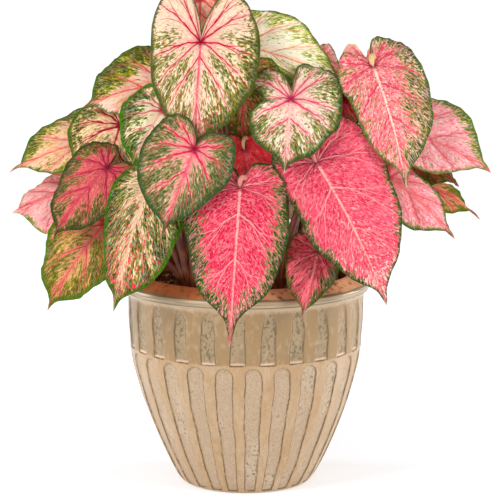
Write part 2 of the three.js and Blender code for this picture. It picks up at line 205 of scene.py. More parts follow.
# camera, light and floor
studio = dict(
    eye=(0.0041, -2.2, 0.610),  # the camera, in metres
    aim=(0.0041, 0.0, 0.233),
    lens=160.7,
    sensor=36,
    farthest=60,  # metres that the camera sees
    sky="#FFFFFF",
    skyStrength=0.5,
    floor="#F1F5FB",
    floorRough=0.9,
    glow="#FFFFFF",
    # the paper is lit from behind, as a shooting table is: in the middle, far away, and metres to there
    floorGlow=(0.26, 0.62, 3.0),
    floorRadius=14,
    floorSides=64,
    # softboxes: place, size across, watts
    lamps=[
        ((-1.4, -1.3, 1.5), 0.9, 24),
        ((1.6, -1.0, 1.2), 0.9, 17.5),
        ((-1.4, 0.5, 0.5), 0.4, 6),
        ((1.4, 0.5, 0.5), 0.4, 6),
    ],
    lampAim=(0, 0, 0.25),
)


def setStudio():
    scene = bpy.context.scene
    scene.view_settings.view_transform = "Standard"
    camera = bpy.data.objects.new("camera", bpy.data.cameras.new("camera"))
    camera.data.sensor_width = studio["sensor"]
    camera.data.lens = studio["lens"]
    camera.data.clip_end = studio["farthest"]
    scene.camera = camera
    stands = [(camera, studio["eye"], studio["aim"])]
    for number, (place, size, watts) in enumerate(studio["lamps"]):
        lamp = bpy.data.lights.new("softbox_%d" % number, "AREA")
        lamp.shape = "DISK"
        lamp.size = size
        lamp.energy = watts
        stands.append((bpy.data.objects.new(lamp.name, lamp), place, studio["lampAim"]))
    for stand, place, aim in stands:
        scene.collection.objects.link(stand)
        stand.location = place
        stand.rotation_euler = (Vector(aim) - Vector(place)).to_track_quat("-Z", "Y").to_euler()
    world = bpy.data.worlds.new("white_studio")
    world.use_nodes = True
    background = world.node_tree.nodes["Background"]
    background.inputs["Color"].default_value = hexToLinear(studio["sky"])
    background.inputs["Strength"].default_value = studio["skyStrength"]
    scene.world = world


# matt white paper, rolled smooth, so that it shows no grain: it only fades into its own glow
def paperFinish(tree):
    near, far, metres = studio["floorGlow"]
    away = addNode(tree, "VectorMath", {0: addNode(tree, "TexCoord").outputs["Object"]}, operation="LENGTH")
    away = addNode(tree, "Math", {0: away.outputs["Value"], 1: metres}, operation="DIVIDE", use_clamp=True)
    glow = addNode(tree, "Math", {0: away, 1: far - near, 2: near}, operation="MULTIPLY_ADD")
    lit = {"Emission Color": studio["glow"], "Emission Strength": glow}
    return {"Base Color": studio["floor"], "Roughness": studio["floorRough"], **lit}


# a flat disc, as a fan of triangles round its middle
def layFloor():
    sides = studio["floorSides"]
    turn = np.linspace(0, 2 * np.pi, sides + 1)[:-1]
    rim = studio["floorRadius"] / mm * stacked(np.cos(turn), np.sin(turn), 0)
    edge = np.arange(sides)
    fan = stacked(edge, (edge + 1) % sides, sides)
    paper = makeMaterial("white_paper", paperFinish)
    floor = makePiece("floor", np.vstack([rim, [[0, 0, 0]]]), fan, paper)


setStudio()
layFloor()
print("studio set")

# the pot: thrown on a wheel, carved with flutes and glazed
pot = dict(
    flutes=25,
    turn=-3.6,  # degrees from the front to the middle of the nearest upper flute
    depth=1.8,
    softEdge=1.7,  # mm over which a flute's side slopes down
    footSlope=0.9,  # how steeply its bottom edge slopes in
    split=138.6,  # height between the two rows of flutes
    noFlute=-9,  # mm inside a flute where there is none
    # half a flute's width as a share of the pitch, the share of it that is lost on the way up, and how far
    # and how fast its dark outline fades where it arches over
    lower=dict(bottom=2.5, top=137.2, arch=9.0, halfShare=0.31, taper=0.04, fade=(0.6, 1)),
    upper=dict(bottom=139.4, top=193.0, arch=17.0, halfShare=0.27, taper=0.26, fade=(1, 1.2)),
    # size, mm of height to a radian, and waves round: how the flutes' sides stray, in shares of the pitch,
    # and how the thrown wall swells, in mm
    stray=[(0.018, 11, 3), (0.012, 5.3, 7)],
    swell=[(0.5, 60, 2), (0.35, -38, 5)],
    steady=40,  # mm up and out over which the swelling sets in
    columns=500,
    # radius and height, with the rows to each span, from the middle of the foot up, over the lip and inside
    foot=([(0, 0.4), (40, 0.4), (60, 0), (64, 0.2), (66.2, 1.6)], 2),
    lowerWall=([(66.2, 1.6), (71.5, 9), (82, 28), (92.5, 51), (104, 81.5), (112.8, 113), (115.9, 128)], 9),
    waist=([(115.9, 128), (116.4, 133), (117.1, 137.4), (117.0, 141), (117.5, 152)], 6),
    upperWall=([(117.5, 152), (118.5, 166), (118.5, 176), (118.5, 184), (118.7, 189.5)], 6),
    shoulder=([(118.7, 189.5), (119.6, 192.5), (121.6, 195), (123.4, 196.4), (123.3, 197.2)], 3),
    lip=([(123.3, 197.2), (124.2, 198.2), (124.4, 200.2), (123.7, 202.8), (121.5, 204.5)], 3),
    slope=([(121.5, 204.5), (116, 207.2), (110, 210.2), (106.4, 211.8), (104.2, 212), (103.3, 210.4)], 3),
    inside=([(103.3, 210.4), (103.3, 196), (102.2, 130), (84, 62), (50, 13), (0, 13)], 2),
    # metres up where the glaze changes; the painted highlight on the step at the foot of the upper flutes
    # ends at one of them, and the painted shadow under the lip starts at another
    lines=dict(
        waist=0.1417, ledge=0.143, shoulder=0.1935, lipLine=0.1962, lip=0.1976, topLine=0.2042, slope=0.2058,
    ),
    colours=dict(
        glaze="#B8946A",
        # the upper band's own darker glaze, deepened by painted shade from the leaves above
        glazeUpper="#98784A",
        glazePale="#C4A684",
        glazeDeep="#9A7646",
        bloom="#CAB090",
        recess="#BCA082",
        recessUpper="#9A825A",
        recessPale="#C8B094",
        recessDark="#927C5C",
        speckle="#7A6A48",
        outline="#6E5428",
        ledge="#E8C4A6",
        shoulderGlaze="#C8AC8A",
        lipGlaze="#BCA27E",
        # grey glaze bands on the lip, and the painted shadow under its edge
        lipShade="#7E745A",
        bareLeft="#C87440",
        bareRight="#F0B484",
        bareDark="#9A5428",
    ),
)


# how far a point lies inside a flute, in mm: the least of its distances to the sides, which close in an
# ellipse at the top, and to the bottom edge
def insideFlute(aside, height, pitch, row):
    risen = clamp01((height - row["bottom"]) / (row["top"] - row["bottom"]))
    half = row["halfShare"] * pitch * (1 - row["taper"] * risen)
    over = np.maximum(height - (row["top"] - row["arch"]), 0) / row["arch"] * half
    return np.minimum(half - np.hypot(aside * pitch, over), (height - row["bottom"]) * pot["footSlope"])


# Glazed stoneware: a runny ash glaze, dipped and fired. It shines where it is thick on the ridges, lies
# dull, grainy and pitted in the flutes and pools dark along their edges. A pale highlight is painted on the
# step at the foot of each upper flute, a grey shadow is painted under the lip, and painted shade from the
# leaves deepens the upper band's own darker glaze. The wiped slope over the lip is bare clay, burnt orange.
def glazeFinish(tree):
    place = addNode(tree, "TexCoord").outputs["Object"]
    known = {}
    for field in ("flute", "outer", "side"):
        known[field] = addNode(tree, "Attribute", attribute_name=field).outputs["Fac"]
    known["aside"], _, known["height"] = addNode(tree, "SeparateXYZ", {0: place}).outputs
    # stretch per metre and detail: patches of 25 mm, runs down the wall, pits of 2.5 mm, grain of 1 mm
    noises = dict(
        patch=((40, 40, 22), 3), runs=((260, 260, 18), 3), pits=((360, 360, 250), 2),
        mottle=((190, 190, 110), 4), grain=((800, 800, 700), 2), bands=((24, 24, 700), 2),
    )
    for name, (stretch, detail) in noises.items():
        placed = addNode(tree, "VectorMath", {0: place, 1: stretch}, operation="MULTIPLY")
        known[name] = addNode(tree, "TexNoise", {"Vector": placed, "Scale": 1.0, "Detail": detail})
    line = pot["lines"]
    rows = dict(
        rawWaist=("patch", 0.005, "height"), upper=("rawWaist", 700, -700 * line["waist"]),
        rawEdge=("pits", 1.4, "flute"), inside=("rawEdge", 0.9, -0.8),
        nearEdge=("rawEdge", 2.2, -0.6), fromInside=("rawEdge", -1.2, 2.4),
        broken=("mottle", 5, -1.4),
        patches=("patch", 3.2, -1.3), morePatches=("patch", 6, -3.0),
        drips=("runs", 3.4, -1.7),
        blooms=("mottle", 7, -3.6),
        rawPits=("pits", 13, -7.3), pitted=("upper", 0.5, "rawPits"),
        rawPatch=("patch", 5, -2.4), pitPatch=("upper", 0.8, "rawPatch"),
        grains=("grain", 6, -2.9),
        # low: 1 at the foot of each upper flute, where the highlight on its step is painted
        low=("height", -500, 500 * line["ledge"]),
        rawShoulder=("runs", 0.007, "height"), shoulder=("rawShoulder", 230, -230 * line["shoulder"]),
        lipLine=("height", 1100, -1100 * line["lipLine"]), lip=("height", 1500, -1500 * line["lip"]),
        rawBands=("bands", 0.003, "height"), topLine=("rawBands", 1200, -1200 * line["topLine"]),
        banded=("bands", 11, -5.4), lipBands=("banded", "lip", 0), someBands=("lipBands", 0.6, "topLine"),
        slope=("rawBands", 1500, -1500 * line["slope"]), right=("aside", 9, 0.45),
        burns=("mottle", 6, -3.1),
        inner=("outer", -1, 1),
        rough=("inside", 0.16, 0.3),
    )
    layers = {
        "patches": "glazePale",
        "drips 0.5": "glazeDeep",
        # the upper band's own darker glaze, deepened by painted shade from the leaves above
        "upper 0.88": "glazeUpper",
        "inside": "recess",
        "inside morePatches": "recessPale",
        "upper inside 0.75": "recessUpper",
        "blooms 0.3": "bloom",
        "grains 0.3": "glazeDeep",
        "grains inside 0.35": "recessDark",
        "pitted pitPatch inside": "speckle",
        "nearEdge fromInside side broken": "outline",
        # a painted highlight: the pale band on the step at the foot of each upper flute, where light from
        # above falls
        "low upper inside 0.9": "ledge",
        "shoulder 0.85": "shoulderGlaze",
        # a painted shadow: a grey band under the lip's edge, where its shade falls; the bands higher up are
        # grey glaze
        "lipLine": "lipShade",
        "lip": "lipGlaze",
        "someBands": "lipShade",
        "slope": "bareLeft",
        "slope right": "bareRight",
        "slope burns": "bareDark",
        "inner": "bareDark",
    }
    colour = paint(tree, known, rows, pot["colours"], "glaze", layers)
    relief = paint(tree, known, {}, known, "patch", {"inside 0.6": "pits", "0.12": "grain"})
    bump = addNode(tree, "Bump", {"Height": relief, "Strength": 0.5, "Distance": 0.0012})
    return {"Base Color": colour, "Roughness": known["rough"], "Normal": bump, "IOR": 1.52}


# sine waves that climb and go round: the sum of size * sin(height / length + count * angle)
def waves(terms, height, around):
    return sum(size * np.sin(height / length + count * around) for size, length, count in terms)


# radius and height along the wall's path, less the flutes' depth, carried round the axis
def makePot():
    spans = ["foot", "lowerWall", "waist", "upperWall", "shoulder", "lip", "slope", "inside"]
    paths = [smoothPath(*pot[span]) for span in spans]
    path = np.vstack([each[:-1] for each in paths[:-1]] + [paths[-1]])
    outerRows = sum(len(each) - 1 for each in paths[:-1])
    radius, height = path[:, :1], np.maximum(path[:, 1:], 0)
    share = np.arange(pot["columns"])[None, :] / pot["columns"]
    around = share * 2 * np.pi
    outer = np.arange(len(path))[:, None] + 0 * share < outerRows
    pitch = np.maximum(2 * np.pi * radius / pot["flutes"], 1)
    across = share * pot["flutes"] + waves(pot["stray"], height, around)
    upperAside = np.abs(across - np.round(across))
    isUpper = height > pot["split"]
    flute, side = [], []
    for row, aside in ((pot["upper"], upperAside), (pot["lower"], 0.5 - upperAside)):
        arched = (height - row["top"]) / row["arch"] + 1
        flute.append(insideFlute(aside, height, pitch, row))
        side.append(1 - row["fade"][0] * clamp01(arched * row["fade"][1]))
    flute = np.where(outer, np.where(isUpper, *flute), pot["noFlute"])
    side = np.where(isUpper, *side) + 0 * share
    bellied = np.sqrt(smooth(flute / pot["softEdge"]))
    swell = waves(pot["swell"], height, around) - sum(size for size, _, _ in pot["swell"])
    held = smooth(height / pot["steady"]) * outer * smooth((radius - pot["steady"]) / pot["steady"])
    out = np.maximum(radius - pot["depth"] * bellied + swell * held, 0)
    turned = around + math.radians(pot["turn"])
    points = stacked(out * np.sin(turned), -out * np.cos(turned), height).reshape(-1, 3)
    fields = {"flute": flute.ravel(), "outer": outer.astype(float).ravel(), "side": side.ravel()}
    triangles = gridTriangles(len(path), pot["columns"], wrap=True)
    glaze = makeMaterial("glazed_stoneware", glazeFinish)
    standFor(makePiece("stoneware_pot", points, triangles, glaze, fields), "pot")


makePot()
print("pot made")

# the potting mix: peat, bark and perlite, pressed in to just below the rim
mix = dict(
    # radius and height from the middle of its underside up the pot's wall
    edge=[(0, 13.4), (49, 13.4), (82.5, 62), (101, 130), (102, 180), (102.3, 198.5)],
    top=203.2,
    topRadius=101.9,
    fall=(3.6, 102),  # mm that the top lies lower at this radius
    ripples=[(5.1, 1.3, 7), (4.3, 1.7, 9)],  # length, and how far and how fast they sway across
    slanting=2.9,
    calm=(0.45, 101, 6),  # how high all these are, and where and over how many mm they die out
    rings=44,
    ringEase=0.9,
    columns=150,
    crumbs=900,
    crumbSize=(1.1, 3.6),
    squash=(0.5, 1.0),
    dent=(0.75, 1.15),
    spread=99,  # how far out crumbs lie
    raised=0.3,
    grit=(0.3, 1),  # what a crumb is, as this goes up: bark, fibre, perlite
    seed=7,
    colours=dict(peat="#38241A", bark="#8C5430", fibre="#C89058", perlite="#F6ECD4"),
)


# Potting mix: milled peat, shredded bark and puffed perlite, tipped in loose. It is dull and dark, with
# brown shreds of 5 mm, paler fibres of 1 to 2 mm, and white perlite crumbs.
def mixFinish(tree):
    place = addNode(tree, "TexCoord").outputs["Object"]
    known = dict(grit=addNode(tree, "Attribute", attribute_name="grit").outputs["Fac"])
    for name, perMetre in dict(fine=700.0, coarse=190.0).items():
        known[name] = addNode(tree, "TexNoise", {"Vector": place, "Scale": perMetre, "Detail": 3.0})
    rows = dict(
        barky=("coarse", 6, -2.9),
        fibrous=("fine", 9, -5.5),
        barkCrumb=("grit", 30, -16.5),
        fibreCrumb=("grit", 30, -21.4),
        perliteCrumb=("grit", 30, -25.9),
    )
    layers = dict(barky="bark", fibrous="fibre", barkCrumb="bark", fibreCrumb="fibre", perliteCrumb="perlite")
    colour = paint(tree, known, rows, mix["colours"], "peat", layers)
    bump = addNode(tree, "Bump", {"Height": known["fine"], "Strength": 0.9, "Distance": 0.0015})
    return {"Base Color": colour, "Roughness": 0.92, "Normal": bump}


# height of the mix at a place: a low dome plus ripples of a few lengths
def mixHeight(x, y):
    radius = np.hypot(x, y)
    fall, rim = mix["fall"]
    high, calm, over = mix["calm"]
    ripple = 0
    for (length, sway, swayLength), one, other in zip(mix["ripples"], (x, y), (y, x)):
        ripple = ripple + np.sin(one / length + sway * np.sin(other / swayLength))
    ripple = ripple + np.sin((x + y) / mix["slanting"])
    return mix["top"] - fall * (radius / rim) ** 2 + high * ripple * smooth((calm - radius) / over)


# a lump's twelve corners, at the places of an icosahedron of radius 1, and its twenty faces
def lumpShape(nearest=1.1):
    golden = (1 + 5**0.5) / 2
    corners = [(s, t * golden, 0) for s in (-1, 1) for t in (-1, 1)]
    lump = unit(np.array([np.roll(corner, k) for k in range(3) for corner in corners], float))
    faces = []
    for i, j, k in itertools.combinations(range(12), 3):
        edges = [np.linalg.norm(lump[p] - lump[q]) for p, q in ((i, j), (j, k), (i, k))]
        if max(edges) < nearest:
            outward = np.dot(np.cross(lump[j] - lump[i], lump[k] - lump[i]), lump[i]) > 0
            faces.append((i, j, k) if outward else (i, k, j))
    return lump, np.array(faces)


# a turned body with a rippled top, and lumps that are squashed, dented, turned and sunk in by chance
def makeMix():
    around = np.arange(mix["columns"])[None, :] * 2 * np.pi / mix["columns"]
    below = np.array(mix["edge"])
    inward = 1 - np.linspace(0, 1, mix["rings"]) ** mix["ringEase"]
    radius = np.concatenate([below[:, 0], mix["topRadius"] * inward])[:, None]
    x, y = radius * np.sin(around), -radius * np.cos(around)
    z = np.vstack([below[:, 1:] + 0 * around, mixHeight(x, y)[len(below) :]])
    points = stacked(x, y, z).reshape(-1, 3)
    triangles = gridTriangles(len(radius), mix["columns"], wrap=True)
    lump, faces = lumpShape()
    chance = np.random.default_rng(mix["seed"])
    count = mix["crumbs"]
    size = chance.uniform(*mix["crumbSize"], (count, 1, 1)) * chance.uniform(*mix["squash"], (count, 1, 3))
    dents = chance.uniform(*mix["dent"], (count, 12, 1))
    axes = np.linalg.qr(chance.normal(size=(count, 3, 3)))[0]
    axes *= np.sign(np.linalg.det(axes))[:, None, None]
    spread = mix["spread"] * np.sqrt(chance.uniform(0, 1, count))
    angle = chance.uniform(0, 2 * np.pi, count)
    x, y = spread * np.cos(angle), spread * np.sin(angle)
    middle = stacked(x, y, mixHeight(x, y) + mix["raised"])[:, None, :]
    crumbs = (middle + (lump[None] * dents * size) @ axes).reshape(-1, 3)
    crumbFaces = (faces[None] + 12 * np.arange(count)[:, None, None]).reshape(-1, 3) + len(points)
    grit = np.concatenate([np.zeros(len(points)), np.repeat(chance.uniform(*mix["grit"], count), 12)])
    points, triangles = np.vstack([points, crumbs]), np.vstack([triangles, crumbFaces])
    crumbly = makeMaterial("peat_bark_perlite", mixFinish)
    piece = makePiece("potting_mix_crumbly", points, triangles, crumbly, {"grit": grit})
    standFor(piece, "potting_mix")


makeMix()
print("potting mix made")

# where the tubers' leafstalks stand together: x, y
crowns = [(-52, -48), (30, -46), (64, 8), (4, 6), (-56, 18), (-26, 62), (38, 60)]

# One row for each leaf: its crown, where its stalk meets the blade, its tip, the way it faces (degrees
# round from the front, degrees above level), its half widths left and right of the midrib, its lobes as
# shares of its length, and curl (degrees that the midrib turns from stalk to tip). Then what isn't usual.
leafNames = ("crown", "base", "tip", "face", "half", "lobe", "curl")
leafRows = [
    (3, (-43, -71, 446), (-48, -107, 344), (-4, 22), (49, 56), (0.64, 0.58), 30,
     dict(full=(0.32, 0.46), join=28)),
    (3, (-6, -20, 439), (97, -28, 401), (14, 36), (36, 54), (0.06, 0.34), 35),
    (0, (-78, -20, 402), (-160, -30, 379), (-22, 34), (53, 32), (0.3, 0.2), 35),
    (4, (-134, -5, 347), (-234, -18, 314), (-35, 38), (56, 34), (0.2, 0.2), 30, dict(full=(0.2, 0.34))),
    (4, (-122, -38, 363), (-137, -52, 292), (-20, 22), (54, 42), (0.42, 0.4), 35, dict(full=(0.45, 0.34))),
    (0, (-80, -60, 380), (-110, -70, 326), (-15, 25), (40, 44), (0.34, 0.34), 35),
    (0, (-133, -76, 326), (-185, -93, 259), (-22, 28), (39, 36), (0.32, 0.2), 35, dict(full=(0.3, 0.44))),
    (4, (-166, -6, 296), (-232, -18, 273), (-28, 30), (26, 50), (0.3, 0.3), 30, dict(full=(0.3, 0.6))),
    (0, (-136, -66, 271), (-192, -83, 188), (-22, 28), (50, 42), (0.2, 0.3), 30, dict(full=(0.4, 0.5))),
    (0, (-91, -107, 315), (-126, -122, 194), (-12, 25), (34, 46), (0.14, 0.12), 35, dict(full=(0.3, 0.6))),
    (0, (-48, -132, 351), (-76, -162, 275), (0, 25), (48, 40), (0.36, 0.34), 30, dict(full=(0.42, 0.1))),
    (1, (-5, -133, 315), (-15, -168, 170), (1, 30), (50, 47), (0.2, 0.2), 60, dict(full=(0.44, 0.52))),
    (1, (-1, -84, 345), (6, -88, 297), (5, 20), (34, 34), (0.36, 0.36), 35),
    (1, (43, -88, 393), (36, -128, 328), (5, 28), (42, 49), (0.52, 0.85), 30,
     dict(full=(0.56, 0.46), wide=0.04, nick=0.34)),
    (3, (-3, -57, 411), (-2, -69, 346), (-4, 20), (28, 40), (0.2, 0.3), 30),
    (1, (67, -104, 335), (135, -110, 198), (4, 30), (44, 62), (0.2, 0.24), 45, dict(full=(0.42, 0.4))),
    (2, (123, -48, 421), (153, -98, 309), (14, 20), (36, 50), (0.18, 0.3), 35, dict(full=(0.44, 0.44))),
    (2, (154, -28, 357), (240, -45, 317), (24, 32), (36, 58), (0.3, 0.34), 30),
    (2, (138, -58, 314), (202, -75, 257), (25, 28), (34, 28), (0.3, 0.3), 30),
    (2, (166, -20, 326), (209, -34, 302), (34, 40), (24, 22), (0.3, 0.3), 30, dict(full=(0.34, 0.6))),
    (2, (171, 0, 302), (232, -15, 267), (32, 40), (26, 17), (0.3, 0.3), 30, dict(full=(0.1, 0.1))),
    (1, (69, -92, 247), (53, -132, 189), (12, 30), (30, 24), (0.3, 0.3), 35, dict(full=(0.3, 0.06))),
    (2, (70, 22, 420), (78, 8, 378), (8, 15), (24, 24), (0.4, 0.4), 30),
    (2, (120, 10, 418), (124, -2, 364), (12, 15), (26, 26), (0.4, 0.4), 30),
    (2, (96, -38, 388), (90, -49, 339), (5, 20), (24, 18), (0.2, 0.1), 30),
    (5, (-26, 44, 443), (-40, 122, 388), (187, 42), (44, 42), (0.3, 0.34), 35),
    (6, (44, 68, 412), (84, 142, 356), (155, 40), (42, 46), (0.3, 0.26), 35),
    (5, (-72, 54, 410), (-120, 122, 348), (214, 38), (44, 40), (0.3, 0.3), 35),
    (6, (100, 78, 384), (152, 132, 326), (138, 38), (40, 42), (0.3, 0.3), 35),
    (4, (-118, 52, 354), (-184, 92, 302), (246, 40), (40, 42), (0.3, 0.3), 35),
    (2, (146, 36, 352), (202, 84, 304), (118, 40), (38, 36), (0.3, 0.3), 35),
    (5, (-24, 102, 378), (-30, 178, 306), (182, 34), (44, 46), (0.34, 0.34), 35),
    (6, (46, 106, 364), (82, 178, 290), (160, 32), (46, 42), (0.34, 0.34), 35),
    (5, (-84, 104, 334), (-128, 164, 264), (208, 30), (42, 44), (0.34, 0.3), 35),
    (6, (108, 90, 324), (150, 142, 256), (138, 30), (40, 42), (0.3, 0.34), 35),
    (4, (-132, 60, 312), (-184, 102, 254), (240, 34), (38, 36), (0.3, 0.3), 35),
    (2, (124, 50, 282), (146, 80, 228), (120, 34), (32, 34), (0.3, 0.3), 35),
    (5, (-6, 128, 304), (-8, 184, 192), (181, 26), (46, 44), (0.3, 0.3), 45),
    (6, (64, 118, 282), (88, 168, 186), (160, 26), (38, 40), (0.3, 0.3), 40),
    (5, (-74, 112, 280), (-98, 164, 188), (202, 26), (40, 38), (0.3, 0.3), 40),
    (4, (-122, 44, 256), (-158, 64, 194), (256, 30), (30, 32), (0.3, 0.3), 35),
    (3, (14, 8, 424), (48, 46, 398), (130, 56), (26, 28), (0.36, 0.36), 30),
    (2, (104, 6, 232), (133, 9, 194), (92, 32), (24, 23), (0.3, 0.3), 35),
    (4, (-92, -19, 243), (-130, -24, 203), (268, 32), (24, 24), (0.3, 0.3), 35),
    (3, (-44, -20, 484), (-46, -28, 437), (-4, 10), (33, 33), (0.16, 0.16), 20),
]
usualLeaf = dict(
    full=(0.34, 0.34),  # how blunt each side is near the tip
    join=3,  # mm that the lobes are joined behind the stalk
    wide=0.14,  # where the blade is widest, as a share of its length
    nick=0,  # how deeply the left margin is drawn in there
)
leaves = [usualLeaf | named(leafNames, row) for row in leafRows]

# the shape that the blades share
blade = dict(
    thickness=(0.9, 0.5),  # at the midrib and at the margin
    cup=-0.12,  # how far the sides bend back, as a share of the half width
    joints=(0.2, 0.48),  # where along the outline the lobe is round and where the blade is widest
    pointOver=0.14,  # share of the outline over which it draws in to its point
    # the main veins, as places along the outline from the sinus to the tip
    veinLines=[0, 0.11, 0.22, 0.34, 0.48, 0.62, 0.76, 0.9, 1],
    betweenVeins=[0, 0.05, 0.13, 0.28, 0.5, 0.72, 0.87, 0.95, 1],
    stepsOut=22,
    stepEase=1.3,
    rimSteps=[0.985, 0.995],
    phaseStep=(0.618, 0.4),  # turns by which the waves differ from leaf to leaf and from side to side
    wave=3.6,
    waveTimes=(2.5, 0.37),  # number of waves, and its step from leaf to leaf
    waveEnds=(0.12, 0.15),  # shares of the outline over which they fade to the sinus and to the tip
    frill=0.9,  # fine waves of the margin, and how much denser they are
    frillTimes=4.3,
    ripples=[(1, 2.4, 1), (0.5, 5.3, 3)],  # waves of the outline: size, number, and phase
    rippleEnds=0.12,
    nickWidth=0.06,
    bow=0.14,  # how far the side veins bow back, as a share of their length
    bowFrom=(0.2, 0.3),  # where along the outline that sets in, and over how much of it
    veinWander=3.12,  # mm
    veinSway=[(1, 9, 17, 1), (0.6, 23, -29, 2)],  # size, and radians out, round and from leaf to leaf
    swayEnds=0.1,
    slant=0.9,  # distance square to a vein, as a share of that along the margin
    midribHalf=(1.2, 0.3),  # half width at the stalk and at the tip
    veinHalf=(0.85, 0.2),
    veinTaper=0.7,
    lastVeins=(0.7, 0.75),  # from here on veins have this share of their width
    groove=0.4,  # how deep the veins lie in the upper face
    ridge=0.7,  # how far they stand out of the underside
    sunkWidth=(1.3, 1.8),  # mm: side veins, midrib
    sunkLoss=(0.7, 0.6),  # shares of their depth that are lost at the margin and at the tip
    sunkFrom=8,  # mm from the stalk over which side veins sink in
    quilt=0.11,  # how far the blade swells between veins, as a share of the gap, and at most
    quiltMost=2.4,
    quiltEnds=(0.25, 0.3),  # shares of the way out over which that rises and falls
    # branches of the side veins: how far they lean over, in gaps, and where they leave a vein
    branches=[(0.42, 0.26), (0.36, 0.48), (0.22, 0.6)],
    farOff=99.0,  # mm that stand for no vein at all
    leastSine=0.25,
    ring=0.6,  # how far out the distances across are measured
    seedStep=13.7,
    # where there is less green: by how much, over how many mm
    bare=dict(stalk=(0.4, 14), vein=(0.25, 2.6), midrib=(0.3, 4)),
    lobeFade=25,
    sparkFade=(0.2, 40),  # the same for flecks of the second colour, away from the midrib
    rimFade=(4, 16),  # where they fade away from the margin, and over how many mm
    inBox=0.1,  # mm that a blade keeps inside the CAD model's box
)


# The right half's outline at p, from the sinus (0) over the lobe to the tip (1): three cubic curves,
# drawn in by a share from a place short of the tip on, which leaves a narrow point. open: how far the
# sinus gapes.
def outlineAt(p, length, half, lobe, join, full, widest, point, open):
    wide = widest * length
    left = length - wide
    s, w = blade["joints"]
    a, b, c = p / s, (p - s) / (w - s), (p - w) / (1 - w)
    narrowed = 1 - point[1] * smooth((p - point[0]) / blade["pointOver"])
    across = [
        cubic(0, open[0] * half, open[1] * half, 0.5 * half, a),
        cubic(0.5 * half, 0.82 * half, half, half, b),
        cubic(half, half, full * half, 0, c) * narrowed,
    ]
    along = [
        cubic(-join, -0.6 * lobe, -lobe, -lobe, a),
        cubic(-lobe, -lobe, wide - 0.6 * (wide + lobe), wide, b),
        cubic(wide, wide + 0.5 * left, length - 0.26 * left, length, c),
    ]
    return [np.select([p < s, p < w], each[:2], each[2]) for each in (across, along)]


# a leaf's chord, facing, side to the right of the midrib, bend and length
def leafFrame(leaf):
    base = np.array(leaf["base"], float)
    chord = np.array(leaf["tip"], float) - base
    along = unit(chord)
    turn, up = np.radians(leaf["face"])
    facing = np.array([np.sin(turn) * np.cos(up), -np.cos(turn) * np.cos(up), np.sin(up)])
    facing = unit(facing - np.dot(facing, along) * along)
    across = np.cross(facing, along)
    curl = np.radians(leaf["curl"])
    bend = np.linalg.norm(chord) / (2 * np.sin(curl / 2))
    sides = dict(base=base, along=along, facing=facing, across=across)
    return dict(curl=curl, bend=bend, length=bend * curl, **sides)


# a wave that comes so many times while p goes from 0 to 1
def wave(times, p, phase):
    return np.sin(2 * np.pi * times * p + phase)


# One flat half of a blade, u (across) and v (along), at places p along the outline and q from midrib to
# margin, and the reach from where a row starts to the margin. Rows in front of the basal ones start
# further and further down the midrib.
def flatHalf(leaf, index, length, hand, look, phase, p, q):
    lobe, join = leaf["lobe"][hand] * length, look.get("join", leaf["join"])
    form = leaf["full"][hand], leaf["wide"], look["point"], look["open"]
    endU, endV = outlineAt(p, length, leaf["half"][hand], lobe, join, *form)
    nick = leaf["nick"] if hand == 0 else 0
    endU = endU * (1 - nick * bell(p - blade["joints"][1], blade["nickWidth"]))
    rippled = sum(size * wave(times, p, turns * phase) for size, times, turns in blade["ripples"])
    ends = blade["rippleEnds"]
    endU = endU * (1 + look["ripple"] * rippled * clamp01((p - ends) / ends) * clamp01((1 - p) / ends))
    started = clamp01((p - look["basal"]) / (1 - look["basal"]))
    startV = length * started ** look["down"]
    reach = np.hypot(endU, endV - startV)
    place, over = blade["bowFrom"]
    swing = blade["bow"] * clamp01((p - place) / over) * (1 - started) * reach
    sway = sum(size * np.sin(a * q + b * p + c * index) for size, a, b, c in blade["veinSway"])
    ends = blade["swayEnds"]
    sway = blade["veinWander"] * clamp01(p / ends) * clamp01((1 - p) / ends) * q * (1 - q) * sway
    return q * endU, startV + q * (endV - startV) - 2 * q * (1 - q) * swing + sway, reach


